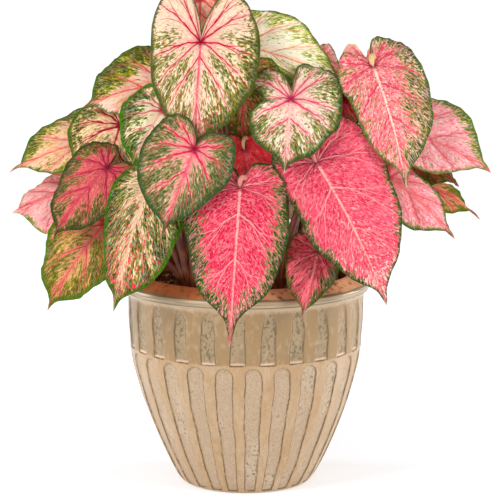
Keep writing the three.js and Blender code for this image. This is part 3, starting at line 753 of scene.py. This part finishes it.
# One half of a blade on a grid of p by q: the flat half is rolled on a cylinder of radius bend and lifted
# off it by its cup, waves, frills and swelling. With it come the values that its colours follow.
def halfBlade(leaf, index, spine, side, look):
    hand = 0 if side < 0 else 1
    length, curl, bend, half = spine["length"], spine["curl"], spine["bend"], leaf["half"][hand]
    lines, between = np.array(blade["veinLines"]), np.array(blade["betweenVeins"])
    gaps = len(lines) - 1
    p = (lines[:-1, None] + np.diff(lines)[:, None] * between).reshape(-1, 1)
    cell = np.repeat(np.arange(gaps), len(between))
    between = np.tile(between, gaps)[:, None]
    isFirst, isLast = cell[:, None] == 0, cell[:, None] == gaps - 1
    q = 1 - (1 - np.linspace(0, 1, blade["stepsOut"])) ** blade["stepEase"]
    q = np.sort(np.append(q, blade["rimSteps"]))[None, :]
    byLeaf, bySide = blade["phaseStep"]
    phase = 2 * np.pi * fract(byLeaf * index + bySide * (1 - hand))
    u, v, reach = flatHalf(leaf, index, length, hand, look, phase, p, q)
    lineU, lineV, _ = flatHalf(leaf, index, length, hand, look, phase, lines[:, None], q)
    gap = np.hypot(np.diff(lineU, axis=0), np.diff(lineV, axis=0))[cell]

    # distances in mm: to the nearest side vein, midrib, margin and stalk
    toVein = np.minimum(np.where(isFirst, 1.0, between), np.where(isLast, 1.0, 1 - between))
    toVein = toVein * gap * blade["slant"]
    toStalk = np.hypot(u, v)
    toMidrib = np.where(v > 0, u, toStalk)
    edgeU, edgeV = np.gradient(u[:, -1]), np.gradient(v[:, -1])
    spokeU, spokeV = u[:, -1] - u[:, -3], v[:, -1] - v[:, -3]
    # the sine of the angle at which a row meets the margin: the cross product over both lengths
    square = np.abs(spokeU * edgeV - spokeV * edgeU) / np.maximum(np.hypot(edgeU, edgeV), 1e-6)
    square = square / np.maximum(np.hypot(spokeU, spokeV), 1e-6)
    toMargin = (1 - q) * reach * np.clip(square, blade["leastSine"], 1)[:, None]
    share = clamp01(v / length)
    midribHalf = slide(blade["midribHalf"], share)
    last, thinner = blade["lastVeins"]
    veinHalf = slide(blade["veinHalf"], q ** blade["veinTaper"]) * np.where(p > last, thinner, 1.0)

    turned = curl * (0.5 - v / length)
    out = bend * (np.cos(turned) - np.cos(curl / 2))
    down = bend * (np.sin(curl / 2) - np.sin(turned))
    fewest, more = blade["waveTimes"]
    times = fewest + fract(more * index)
    atSinus, atTip = blade["waveEnds"]
    held = clamp01(p / atSinus) * clamp01((1 - p) / atTip)
    lift = blade["cup"] * half * (u / half) ** 2
    lift = lift + blade["wave"] * held * q * q * wave(times, p, phase)
    lift = lift + blade["frill"] * held * q**7 * wave(blade["frillTimes"] * times, p, 2 * phase)
    swell = np.minimum(blade["quilt"] * gap, blade["quiltMost"]) * np.sin(np.pi * between) ** 2
    rise, fall = blade["quiltEnds"]
    lift = lift + swell * smooth(q / rise) * smooth((1 - q) / fall)
    (sideWidth, midWidth), (sideLoss, midLoss) = blade["sunkWidth"], blade["sunkLoss"]
    nearVein = bell(toVein, sideWidth) * (1 - sideLoss * q) * smooth(toStalk / blade["sunkFrom"])
    sunk = np.maximum(nearVein, bell(toMidrib, midWidth) * (1 - midLoss * share))
    normal = spine["facing"] * np.cos(turned)[..., None] - spine["along"] * np.sin(turned)[..., None]
    middle = spine["base"] + spine["facing"] * out[..., None] + spine["along"] * down[..., None]
    middle = middle + spine["across"] * (side * u)[..., None]
    top = middle + normal * (lift - blade["groove"] * sunk)[..., None]
    under = middle + normal * (lift - slide(blade["thickness"], q) - blade["ridge"] * sunk)[..., None]

    # how far apart the rows lie, added up, on a ring some way out
    ring = int(blade["ring"] * q.size)
    across = np.append(0, np.cumsum(np.hypot(np.diff(u[:, ring]), np.diff(v[:, ring]))))[:, None]
    green = slide((look["middle"], look["margins"][hand]), 1 - smooth(toMargin / look["reach"]))
    fromEach = dict(stalk=toStalk, vein=toVein - veinHalf, midrib=toMidrib)
    green = green - sum(less * bell(fromEach[name], width) for name, (less, width) in blade["bare"].items())
    green = green + look["lobes"] * smooth(-v / blade["lobeFade"])
    less, over = blade["sparkFade"]
    spark = slide(look["flecks"], smooth(share)) - less * smooth(toMidrib / over)
    edge, over = blade["rimFade"]
    spark = spark + look["rim"] * (1 - smooth((toMargin - edge) / over))
    # signed distances to branches that leave the veins on either side of a cell and run on to the margin
    leans = [lean * clamp01((q - start) / (1 - start)) for lean, start in blade["branches"]]
    first = (between - leans[0]) * gap * blade["slant"]
    second = (1 - between - leans[1]) * gap * blade["slant"]
    third = np.where(isFirst, blade["farOff"], first - leans[2] * gap)
    first, second = np.where(isFirst, blade["farOff"], first), np.where(isLast, blade["farOff"], second)
    marks = dict(
        flow=stacked(side * q * reach, across, blade["seedStep"] * index),
        amounts=stacked(green, spark, 0),
        veins=stacked(toVein - veinHalf, toMargin, toStalk),
        ribs=stacked(toMidrib - midribHalf, share, 0),
        branches=stacked(first, second, third),
    )
    return top, under, marks


# what the blades' colours follow, with the names of the numbers that each field holds
bladeFields = dict(
    flow=("out", "across", "seed"),
    amounts=("green", "spark", "under"),
    veins=("toVein", "toMargin", "toStalk"),
    ribs=("midrib", "share"),
    branches=("first", "second", "third"),
)


# both halves, upper face, underside and margin, as one closed shell
def bladeShell(leaf, index, look):
    spine = leafFrame(leaf)
    points, triangles, fields = [], [], {name: [] for name in bladeFields}
    for side in (-1, 1):
        top, under, marks = halfBlade(leaf, index, spine, side, look)
        rows, columns = top.shape[:2]
        count = rows * columns
        face = gridTriangles(rows, columns)  # corners a, b, c and a, c, d with b next along q
        rim = np.arange(rows) * columns + columns - 1
        margin = splitCells(rim[:-1], rim[:-1] + count, rim[1:] + count, rim[1:])
        shell = np.vstack([face, face[:, ::-1] + count, margin]) + count * len(points)
        triangles.append(shell if side < 0 else shell[:, ::-1])
        points += [top.reshape(-1, 3), under.reshape(-1, 3)]
        for name, values in marks.items():
            values = values.reshape(-1, 3)
            # the third of the amounts is 1 on the underside
            fields[name] += [values, values + [0, 0, float(name == "amounts")]]
    fields = {name: np.concatenate(each) for name, each in fields.items()}
    return np.vstack(points), np.vstack(triangles), fields


# The kinds of colouring: pale patches, the ground and its second tone, shaded patches, the halo along the
# veins, the flecks in two greens and in the second colour, the net, the veins, the joint and the edge. Then
# what only some kinds have: a saturation, dust in the green, and painted shade in a deep red beside the sunk
# veins near the stalk and round the stalk.
colourNames = "pale ground groundAlt shade halo green greenDark spark net vein midrib joint edge".split()
kindRows = dict(
    creamRed=(
        "#F4E0B8", "#F8D8BC", "#F8D2C0", "#E6B890", "#F09C94", "#7E7E26", "#424C0C",
        "#E8506A", "#FFF0DA", "#C62A46", "#E06878", "#7C1428", "#424E1C", dict(vivid=1.08),
    ),
    creamGold=(
        "#FAF4CC", "#FFF4D8", "#FFF8EE", "#FCE6BA", "#FFD8B4", "#C6C862", "#6C7E2C",
        "#F4A078", "#FFF8E8", "#F49468", "#F49468", "#B4502F", "#4C5C14",
    ),
    peachLime=(
        "#E6C44C", "#FFCCAC", "#FAC884", "#F4A080", "#FF988C", "#8E960A", "#445200",
        "#F8B088", "#FFF0D4", "#EE6A60", "#EE6A60", "#A82840", "#466A12", dict(dust="#E8C030"),
    ),
    creamCrimson=(
        "#F0DC9C", "#F4D4A6", "#F4D8B0", "#D0A864", "#E08C78", "#707212", "#384202",
        "#DA4456", "#FFEED2", "#A01834", "#A01834", "#680E28", "#3E6414", dict(vivid=1.08),
    ),
    creamGreen=(
        "#F8F0D2", "#FCEACA", "#F4DEBC", "#D8C88C", "#F8DCC0", "#6C7E22", "#304800",
        "#E86A74", "#FFFAEC", "#E07C7C", "#F2B8A6", "#A01838", "#3E7612", dict(vivid=1.12),
    ),
    roseGreen=(
        "#D88860", "#DC5C5A", "#E66E68", "#AE383E", "#D23E54", "#6C681A", "#34440C",
        "#F28C84", "#F8A498", "#B82C46", "#D04A62", "#740E2C", "#2C4214", dict(vivid=1.0),
    ),
    softRose=(
        "#F4D88C", "#FFB2AE", "#FFC6C0", "#FA8484", "#F87478", "#8E8E20", "#4A5E08",
        "#F47480", "#FFF4F0", "#F27A84", "#F48688", "#C03A54", "#4C801E", dict(dust="#E8D060"),
    ),
    olivePink=(
        "#D8AE64", "#E2A270", "#E89C80", "#C28848", "#F07C70", "#7E7A12", "#4E5808",
        "#EE6A66", "#FAC8A0", "#E85864", "#EC6870", "#B02E46", "#467010",
    ),
    mottled=(
        "#F0E0B4", "#EED6AE", "#F2CCAA", "#D0AC74", "#F8DCBA", "#727E1C", "#2E4000",
        "#F0606E", "#FFF4E0", "#F2B696", "#F4CCAC", "#A01838", "#3A660E", dict(vivid=1.12),
    ),
    roseMist=(
        "#DCC0A0", "#EAA090", "#E8B296", "#CC7C6C", "#E87884", "#807C40", "#42541E",
        "#EA4C68", "#FCD6C6", "#DE3A58", "#EC6678", "#84102F", "#2C4C24",
    ),
    hotPink=(
        "#F07C84", "#E03C58", "#E84E66", "#C22644", "#E4485E", "#4A6C1C", "#20440A",
        "#FAA2A0", "#FA9CA0", "#FAA0A0", "#FCB2A8", "#8C1638", "#204410", dict(paintedVeinShade="#A01838"),
    ),
    whitePink=(
        "#F4E8D0", "#F6DCC6", "#F6CCB8", "#E8CCAC", "#F2A4A2", "#82883C", "#42540E",
        "#E4506A", "#FFF4E6", "#E05876", "#F6C8B8", "#901440", "#2A4A18", dict(vivid=1.08),
    ),
    pinkCream=(
        "#F6E8C0", "#F26E7A", "#F27E80", "#DC4C60", "#EA5C70", "#807C1E", "#344406",
        "#FFE2D0", "#FFD2C6", "#E0566E", "#FCDCC4", "#901440", "#46621C", dict(paintedVeinShade="#C83C54"),
    ),
    brownGreen=(
        "#A88844", "#A8603E", "#8E5A2E", "#7A4028", "#B85E50", "#5C6422", "#3A4614",
        "#C86458", "#BC7E50", "#B05250", "#B05250", "#7A2830", "#4A5A1C",
    ),
)
kinds = {name: named(colourNames, row) for name, row in kindRows.items()}

# One look for each front leaf: its kind, how much green it bears at its left and right margins and in its
# middle (0.42 covers a fifth, 0.58 a half), how far in from the margin that reaches (mm), and how thick the
# flecks of the second colour lie at stalk and tip. Then what isn't usual: also any colour, a tip's colour,
# and join, which goes before the leaf's own.
lookNames = ("kind", "margins", "middle", "reach", "flecks")
lookRows = [
    ("creamRed", (0.8, 0.98), 0.65, 24, (0.34, 0.64),
     dict(band=3, basal=0.66, down=1.6, ripple=0.032, lobes=-0.38, open=(0.1, 0.28), join=13)),
    ("creamGold", (0.9, 0.8), 0.5, 34, (0, 0.1), dict(band=2)),
    ("peachLime", (1.12, 0.3), 0.32, 50, (0.3, 0.4), dict(ground="#FFDCC8", groundAlt="#FFD0A8")),
    ("peachLime", (1, 0.6), 0.36, 26, (0.45, 0.3), dict(tip="#F08C76")),
    ("creamCrimson", (0.92, 0.86), 0.61, 26, (0.3, 0.42), dict(band=2.6)),
    ("creamGreen", (1, 0.9), 0.62, 34, (0.1, 0.1), dict(band=3.4)),
    ("roseGreen", (0.94, 1), 0.5, 26, (0.35, 0.45), dict(band=2.6)),
    ("softRose", (0.5, 0.7), 0.2, 10, (0.3, 0.3), dict(tip="#F8D4B4", edge="#98984C", band=0.6)),
    ("olivePink", (0.98, 0.92), 0.72, 30, (0.42, 0.45), dict(band=3)),
    ("mottled", (1, 0.98), 0.76, 26, (0.5, 0.75), dict(band=3.2)),
    ("roseMist", (0.95, 1.16), 0.73, 30, (0.42, 0.45), dict(band=2.8)),
    ("hotPink", (0.99, 0.95), 0.26, 25, (0.34, 0.4),
     dict(rim=0.24, tip="#F05C74", basal=0.5, down=1.2, mesh=0.7, point=(0.75, 0.7), ripple=0.04,
          lobes=-0.12)),
    ("hotPink", (0.6, 0.5), 0.3, 12, (0.3, 0.4),
     dict(ground="#FF5050", groundAlt="#FF6464", shade="#FA4048", paintedVeinShade="#E83440", vein="#F05A5C",
          midrib="#F87C74", open=(0, 0.05))),
    ("whitePink", (0.9, 0.88), 0.6, 26, (0.5, 0.5), dict(band=2.8, ripple=0.03, open=(0.01, 0.08), join=7)),
    ("olivePink", (0.9, 0.95), 0.76, 26, (0.5, 0.5), dict(ground="#C4A078")),
    ("hotPink", (0.82, 0.7), 0.1, 15, (0.3, 0.64),
     dict(rim=0.15, basal=0.5, down=1.2, mesh=0.7, ripple=0.05, ground="#E64E66", groundAlt="#EC6276",
          shade="#CA344E", spark="#FCC4B6")),
    ("pinkCream", (0.62, 0.98), 0.4, 38, (0.5, 0.26),
     dict(rim=0.12, basal=0.5, down=1.3, mesh=0.8, ripple=0.03)),
    ("softRose", (0.5, 0.98), 0.26, 20, (0.46, 0.42),
     dict(ground="#FFA0A4", shade="#F8687A", edge="#5C7A24", tip="#FA8C84", mesh=0.45, ripple=0.03)),
    ("softRose", (0.78, 0.74), 0.26, 10, (0.46, 0.42),
     dict(ground="#FF9096", groundAlt="#FFA4A8", shade="#F45C70", edge="#3A5E24", mesh=0.45, ripple=0.04)),
    ("brownGreen", (0.9, 0.9), 0.6, 20, (0.4, 0.4)),
    ("olivePink", (0.8, 0.9), 0.5, 20, (0.2, 0.2), dict(ground="#F8B484")),
    ("hotPink", (0.6, 1), 0.36, 20, (0.4, 0.48), dict(ground="#FF707E", groundAlt="#FF7C86", edge="#4E5E1E")),
    ("softRose", (0.4, 0.4), 0.1, 6, (0.2, 0.2)),
    ("softRose", (0.4, 0.4), 0.1, 6, (0.2, 0.2), dict(edge="#D9C890")),
    ("roseGreen", (0.9, 0.9), 0.6, 20, (0.3, 0.3), dict(ground="#D08C70")),
]
usualLook = dict(
    band=1.8,  # mm of plain edge colour at the margin
    mesh=0.3,  # how plainly the net of the smallest veins shows
    lobes=0,  # how much more green lies behind the stalk
    rim=0,  # how many more flecks of the second colour lie near the margin
    vivid=1.04,  # saturation
    basal=0.58,  # share of the outline whose veins all start at the stalk
    down=1.5,  # the higher, the nearer to the stalk the side veins start
    ripple=0.02,  # waves of the outline, as a share of the half width
    point=(0.8, 0.6),  # where along the outline it draws in to a point, and by how much
    open=(0.03, 0.16),  # how far the sinus gapes, in half widths
)
looks = [usualLook | kinds[row[0]] | named(lookNames, row) for row in lookRows]
# which front leaf's look each of the leaves behind takes
likeness = [1, 12, 3, 17, 6, 16, 11, 14, 5, 12, 9, 10, 16, 1, 7, 18, 2, 12, 9, 3]


# Living leaf: thin, watery tissue under a waxy skin, grown with green in some cells and none in others. It
# has a satin sheen, and crisp green flecks of 2 to 4 mm lie between the veins over a cream or pink ground,
# thick at the margin and thin at the stalk.
def bladeFinish(tree, look):
    known = {}
    for field, parts in bladeFields.items():
        known[field] = addNode(tree, "Attribute", attribute_name=field).outputs["Vector"]
        known.update(zip(parts, addNode(tree, "SeparateXYZ", {0: known[field]}).outputs))
    # flow runs in mm outward and across; name: stretch, shift, detail
    noises = dict(
        fleck=((1 / 4.4, 1 / 2.2, 1), (0, 0, 0), 3),
        grain=((1 / 1.9, 1 / 1.3, 1), (9, 0, 3), 2),
        patch=((1 / 19, 1 / 13, 1), (4, 7, 0), 2),
        speck=((1 / 3.4, 1 / 1.8, 1), (0, 5, 40), 2),
        net=((1 / 8, 1 / 2.6, 1), (3, 0, 80), 3),
        light=((1 / 2.6, 1 / 1.7, 1), (6, 2, 20), 3),
        shade=((1 / 4.6, 1 / 3.6, 1), (1, 8, 60), 4),
    )
    for name, (stretch, shift, detail) in noises.items():
        inputs = {0: known["flow"], 1: stretch, 2: shift}
        placed = addNode(tree, "VectorMath", inputs, operation="MULTIPLY_ADD")
        inputs = {"Vector": placed, "Scale": 1.0, "Detail": detail, "Roughness": 0.55}
        known[name] = addNode(tree, "TexNoise", inputs)
    # the net of the smallest veins: meshes of 6 by 3 mm, a little crooked
    placed = addNode(tree, "VectorMath", {0: known["flow"], 1: (1 / 6.5, 1 / 3.4, 1)}, operation="MULTIPLY")
    inputs = {0: known["fleck"].outputs["Color"], 1: (0.9, 0.9, 0), 2: placed}
    crooked = addNode(tree, "VectorMath", inputs, operation="MULTIPLY_ADD")
    inputs = {"Vector": crooked, "Scale": 1.0}
    known["meshes"] = addNode(tree, "TexVoronoi", inputs, feature="DISTANCE_TO_EDGE")
    known["mesh"] = look["mesh"]
    rows = dict(
        rawPatchy=("patch", 0.9, "green"),
        rawFleck=("rawPatchy", 21.3, -40.5), flecks=("fleck", 36.4, "rawFleck"),
        rawDeep=("rawPatchy", 18.2, -39.7), deep=("fleck", 33.6, "rawDeep"),
        rawSpark=("spark", 11.2, -22.3), sparks=("speck", 28, "rawSpark"),
        patches=("patch", 4, -1.6), pale=("green", 4, -2.5),
        shades=("shade", 11.7, -5.9), lights=("light", 26, -15.1), blotches=("shade", 5, -1.9),
        nearVein=("toVein", -0.32, 1.05), nearRib=("midrib", -0.26, 1.1),
        stalkward=("toStalk", -0.012, 1.1), heart=("toStalk", -0.022, 0.85),
        dusty=("grain", 14, -8.4),
        netLines=("meshes", -7.5, 1), netPatches=("net", 4, -1.4),
        rawEdge=("fleck", 13, "toMargin"), edge=("rawEdge", -0.6, 4.4 + 0.6 * look["band"]),
        rawVein=("speck", 1.6, "toVein"), veins=("rawVein", -2.0, 2.2), inward=("toMargin", 0.14, 0.1),
        rib=("midrib", -1.6, 0.7), broken=("light", 8, -2.9),
        farInward=("toMargin", 0.06, 0),
        rawFirst=("first", "first", 0), branch1=("rawFirst", -2.2, 0.85),
        rawSecond=("second", "second", 0), branch2=("rawSecond", -2.6, 0.8),
        rawThird=("third", "third", 0), branch3=("rawThird", -3, 0.7),
        joint=("toStalk", -0.16, 1.05),
        tipward=("share", 9, -8.1),
    )
    layers = {
        "patches": "groundAlt",
        "pale 0.9": "pale",
        "shades 0.75": "shade",
        "lights 0.75": "net",
        "nearVein blotches": "halo",
        "nearRib blotches": "halo",
        # painted shade in a deep red beside the sunk veins near the stalk and round the stalk
        "nearVein stalkward blotches": "paintedVeinShade",
        "heart blotches": "paintedVeinShade",
        "flecks": "green",
        "deep": "greenDark",
        "dusty flecks 0.25": "dust",
        "sparks": "spark",
        "netLines netPatches mesh": "net",
        "edge 0.92": "edge",
        "branch1 farInward": "vein",
        "branch2 farInward": "vein",
        "branch3 farInward": "vein",
        "tipward": "tip",
        "veins inward": "vein",
        "rib broken": "midrib",
        "joint": "joint",
        "under 0.45": "under",
    }
    if "tip" not in look:
        del layers["tipward"]
    colours = {"paintedVeinShade": look["halo"], "dust": look["net"], "under": "#B9A98C", **look}
    colour = paint(tree, known, rows, colours, "ground", layers)
    colour = addNode(tree, "HueSaturation", {"Color": colour, "Saturation": look["vivid"]})
    heights = {**known, "dip": (0.1, 0.1, 0.1, 1)}
    layers = {"0.35": "fleck", "0.3": "net", "veins inward": "dip"}
    height = paint(tree, known, {}, heights, "shade", layers)
    bump = addNode(tree, "Bump", {"Height": height, "Strength": 0.8, "Distance": 0.0018})
    rough = addNode(tree, "Math", {0: known["grain"], 1: 0.2, 2: 0.4}, operation="MULTIPLY_ADD")
    return {"Base Color": colour, "Roughness": rough, "Normal": bump, "IOR": 1.42, "Specular IOR Level": 0.1}


# eases the outermost 5 mm in, so that a blade stays inside the CAD model's box: x is 5 tanh(x / 5) there
def easeIn(points, most, ease=5):
    over = np.maximum(points - (most - ease), 0)
    return points - over + ease * np.tanh(over / ease)


def makeLeaves():
    least, most = (np.array(corner) / mm for corner in cadBounds)
    least, most = least + blade["inBox"], most - blade["inBox"]
    names = ["variegated_blade_%02d" % (number + 1) for number in range(len(looks))]
    materials = [makeMaterial(name, bladeFinish, look) for name, look in zip(names, looks)]
    for index, leaf in enumerate(leaves):
        like = index if index < len(looks) else likeness[index - len(looks)] - 1
        points, triangles, fields = bladeShell(leaf, index, looks[like])
        points = -easeIn(-easeIn(points, most), -least)
        piece = makePiece("blade_%02d" % (index + 1), points, triangles, materials[like], fields)
        node = "leaf_%02d" % (index + 1)
        standFor(piece, node)


makeLeaves()
print("leaves made:", len(leaves))

# the leafstalks: round, fleshy, brown-red stalks that wrap each other at the foot
stalk = dict(
    foot=4.2,  # radius
    top=1.7,
    flare=1.6,  # added at the foot, where it wraps its neighbours, and how fast that fades
    flareFades=14,
    slimmer=(0.4, 0.9),  # share by which it grows slimmer over its last rows, and where they start
    sides=12,
    steps=30,
    spread=4.5,  # how far apart the stalks of a crown stand, from its middle
    sunk=8,  # how far they start below the mix
    soilLevel=203.5,
    leans=(0.02, 0.08),  # shares of its lean at its foot and at its next control point
    climbs=(0.45, 0.15),  # shares of its reach from its foot up to that point, and from the next to its end
    # along the blade's normal, heading and side: where it ends behind the blade, and the way it arrives
    end=(-0.7, 0, 0),
    arrival=(0.98, 0.2, 0),
    # leaves whose stalk comes up through the sinus and hooks over to the front: the hook's pallor and radius
    hooked={12: (0.952, 2.5), 13: (0.996, 1.6), 16: (0.95, 2.3), 17: (0.998, 2.9)},
    turn=0.72,  # share of a hooked stalk's rows before its hook
    # the hook, in the same way: where it starts, its way forward for so many mm, its crest and its end
    back=(-5, -10, 4.5),
    forward=(0.9, -0.4, 0),
    forwardFor=9,
    crest=(6.2, -7.5, -3.5),
    hookEnd=(0.2, 1.5, 0),
    colours=dict(brown="#663018", brownPale="#B0643C", stripe="#2A1208", rose="#D07474", cream="#E6CC84"),
    pattern=(3, 7),  # mm of pattern to a radian round it, and by how much it differs with a leaf's curl
)


# Living leafstalk: fleshy, watery tissue in a tight smooth skin. It has a soft sheen, and fine dark stripes
# run along it over blotched brown, which turns rosy near the blade and cream in a hook.
def stalkFinish(tree):
    flow = addNode(tree, "Attribute", attribute_name="flow").outputs["Vector"]
    known = dict(share=addNode(tree, "SeparateXYZ", {0: flow}).outputs["Z"])
    for name, stretch in dict(stripes=(1.6, 0.035, 0), blotch=(0.25, 0.08, 0)).items():
        placed = addNode(tree, "VectorMath", {0: flow, 1: stretch}, operation="MULTIPLY")
        known[name] = addNode(tree, "TexNoise", {"Vector": placed, "Scale": 1.0, "Detail": 3.0})
    rows = dict(
        blotched=("blotch", 4, -1.7),
        rosy=("share", 5, -3.6),
        creamy=("share", 14, -13.2),
        striped=("stripes", 7, -3.9),
    )
    layers = dict(blotched="brownPale", rosy="rose", striped="stripe", creamy="cream")
    colour = paint(tree, known, rows, stalk["colours"], "brown", layers)
    bump = addNode(tree, "Bump", {"Height": known["stripes"], "Strength": 0.4, "Distance": 0.0006})
    return {"Base Color": colour, "Roughness": 0.42, "Normal": bump, "IOR": 1.45}


# one stalk as a grid of steps by sides: circles carried along a cubic curve that rises from the crown,
# leans out, and meets the blade square from behind
def stalkGrid(leaf, number):
    spine = leafFrame(leaf)
    x, y = crowns[leaf["crown"]]
    turned = spine["curl"] / 2
    normal = spine["facing"] * np.cos(turned) - spine["along"] * np.sin(turned)
    heading = spine["along"] * np.cos(turned) + spine["facing"] * np.sin(turned)
    axes = np.array([normal, heading, spine["across"]])
    names = ("end", "arrival", "back", "forward", "crest", "hookEnd")
    ways = {name: np.dot(stalk[name], axes) for name in names}
    base, end = spine["base"], spine["base"] + ways["end"]
    lean = np.array([leaf["base"][0] - x, leaf["base"][1] - y, 0.0])
    start = np.array([x, y, stalk["soilLevel"] - stalk["sunk"]])
    start = start + lean * stalk["leans"][0] + unit(lean) * stalk["spread"]
    reach = np.linalg.norm(end - start)
    up, last = reach * stalk["climbs"][0], reach * stalk["climbs"][1]
    rise = start + np.array([0, 0, up]) + lean * stalk["leans"][1]
    t = np.linspace(0, 1, stalk["steps"] + 1)[:, None]
    middle = cubic(start, rise, end - ways["arrival"] * last, end, t)
    if number in stalk["hooked"]:
        turn, back, forward = stalk["turn"], base + ways["back"], ways["forward"]
        climb = cubic(start, rise, back - forward * last, back, t / turn)
        ahead = back + forward * stalk["forwardFor"]
        hook = cubic(back, ahead, base + ways["crest"], base + ways["hookEnd"], (t - turn) / (1 - turn))
        middle = np.where(t < turn, climb, hook)
    tangent = unit(np.gradient(middle, axis=0))
    level = unit(np.cross([0, 0, 1.0], lean))
    side = unit(level - np.sum(tangent * level, 1, keepdims=True) * tangent)
    other = np.cross(tangent, side)
    around = np.arange(stalk["sides"]) * 2 * np.pi / stalk["sides"]
    pallor, top = stalk["hooked"].get(number, (t, stalk["top"]))
    radius = slide((stalk["foot"], top), t) + stalk["flare"] * np.exp(-stalk["flareFades"] * t)
    slimmer, late = stalk["slimmer"]
    radius = radius * (1 - slimmer * smooth((t - late) / (1 - late))) * np.where((t == 0) | (t == 1), 0, 1)
    spokes = side[:, None] * np.cos(around)[None, :, None] + other[:, None] * np.sin(around)[None, :, None]
    grid = middle[:, None] + spokes * radius[..., None]
    # round the stalk and back again, so that the pattern meets itself
    perRadian, byCurl = stalk["pattern"]
    girth = np.abs(around - np.pi) * perRadian + byCurl * leaf["curl"]
    flow = stacked(girth, reach * t, np.where(t > stalk["turn"], pallor, t))
    return grid.reshape(-1, 3), flow.reshape(-1, 3)


# the stalks of each crown as one piece
def makeStalks():
    material = makeMaterial("leafstalk_skin", stalkFinish)
    one = gridTriangles(stalk["steps"] + 1, stalk["sides"], wrap=True)
    for crown in range(len(crowns)):
        grids = [stalkGrid(leaf, number + 1) for number, leaf in enumerate(leaves) if leaf["crown"] == crown]
        triangles = np.vstack([one + number * len(grids[0][0]) for number in range(len(grids))])
        points, flow = (np.vstack(each) for each in zip(*grids))
        piece = makePiece("stalks_of_crown_%d" % (crown + 1), points, triangles, material, {"flow": flow})
        standFor(piece, "leafstalks_%d" % (crown + 1))


makeStalks()
print("leafstalks made")
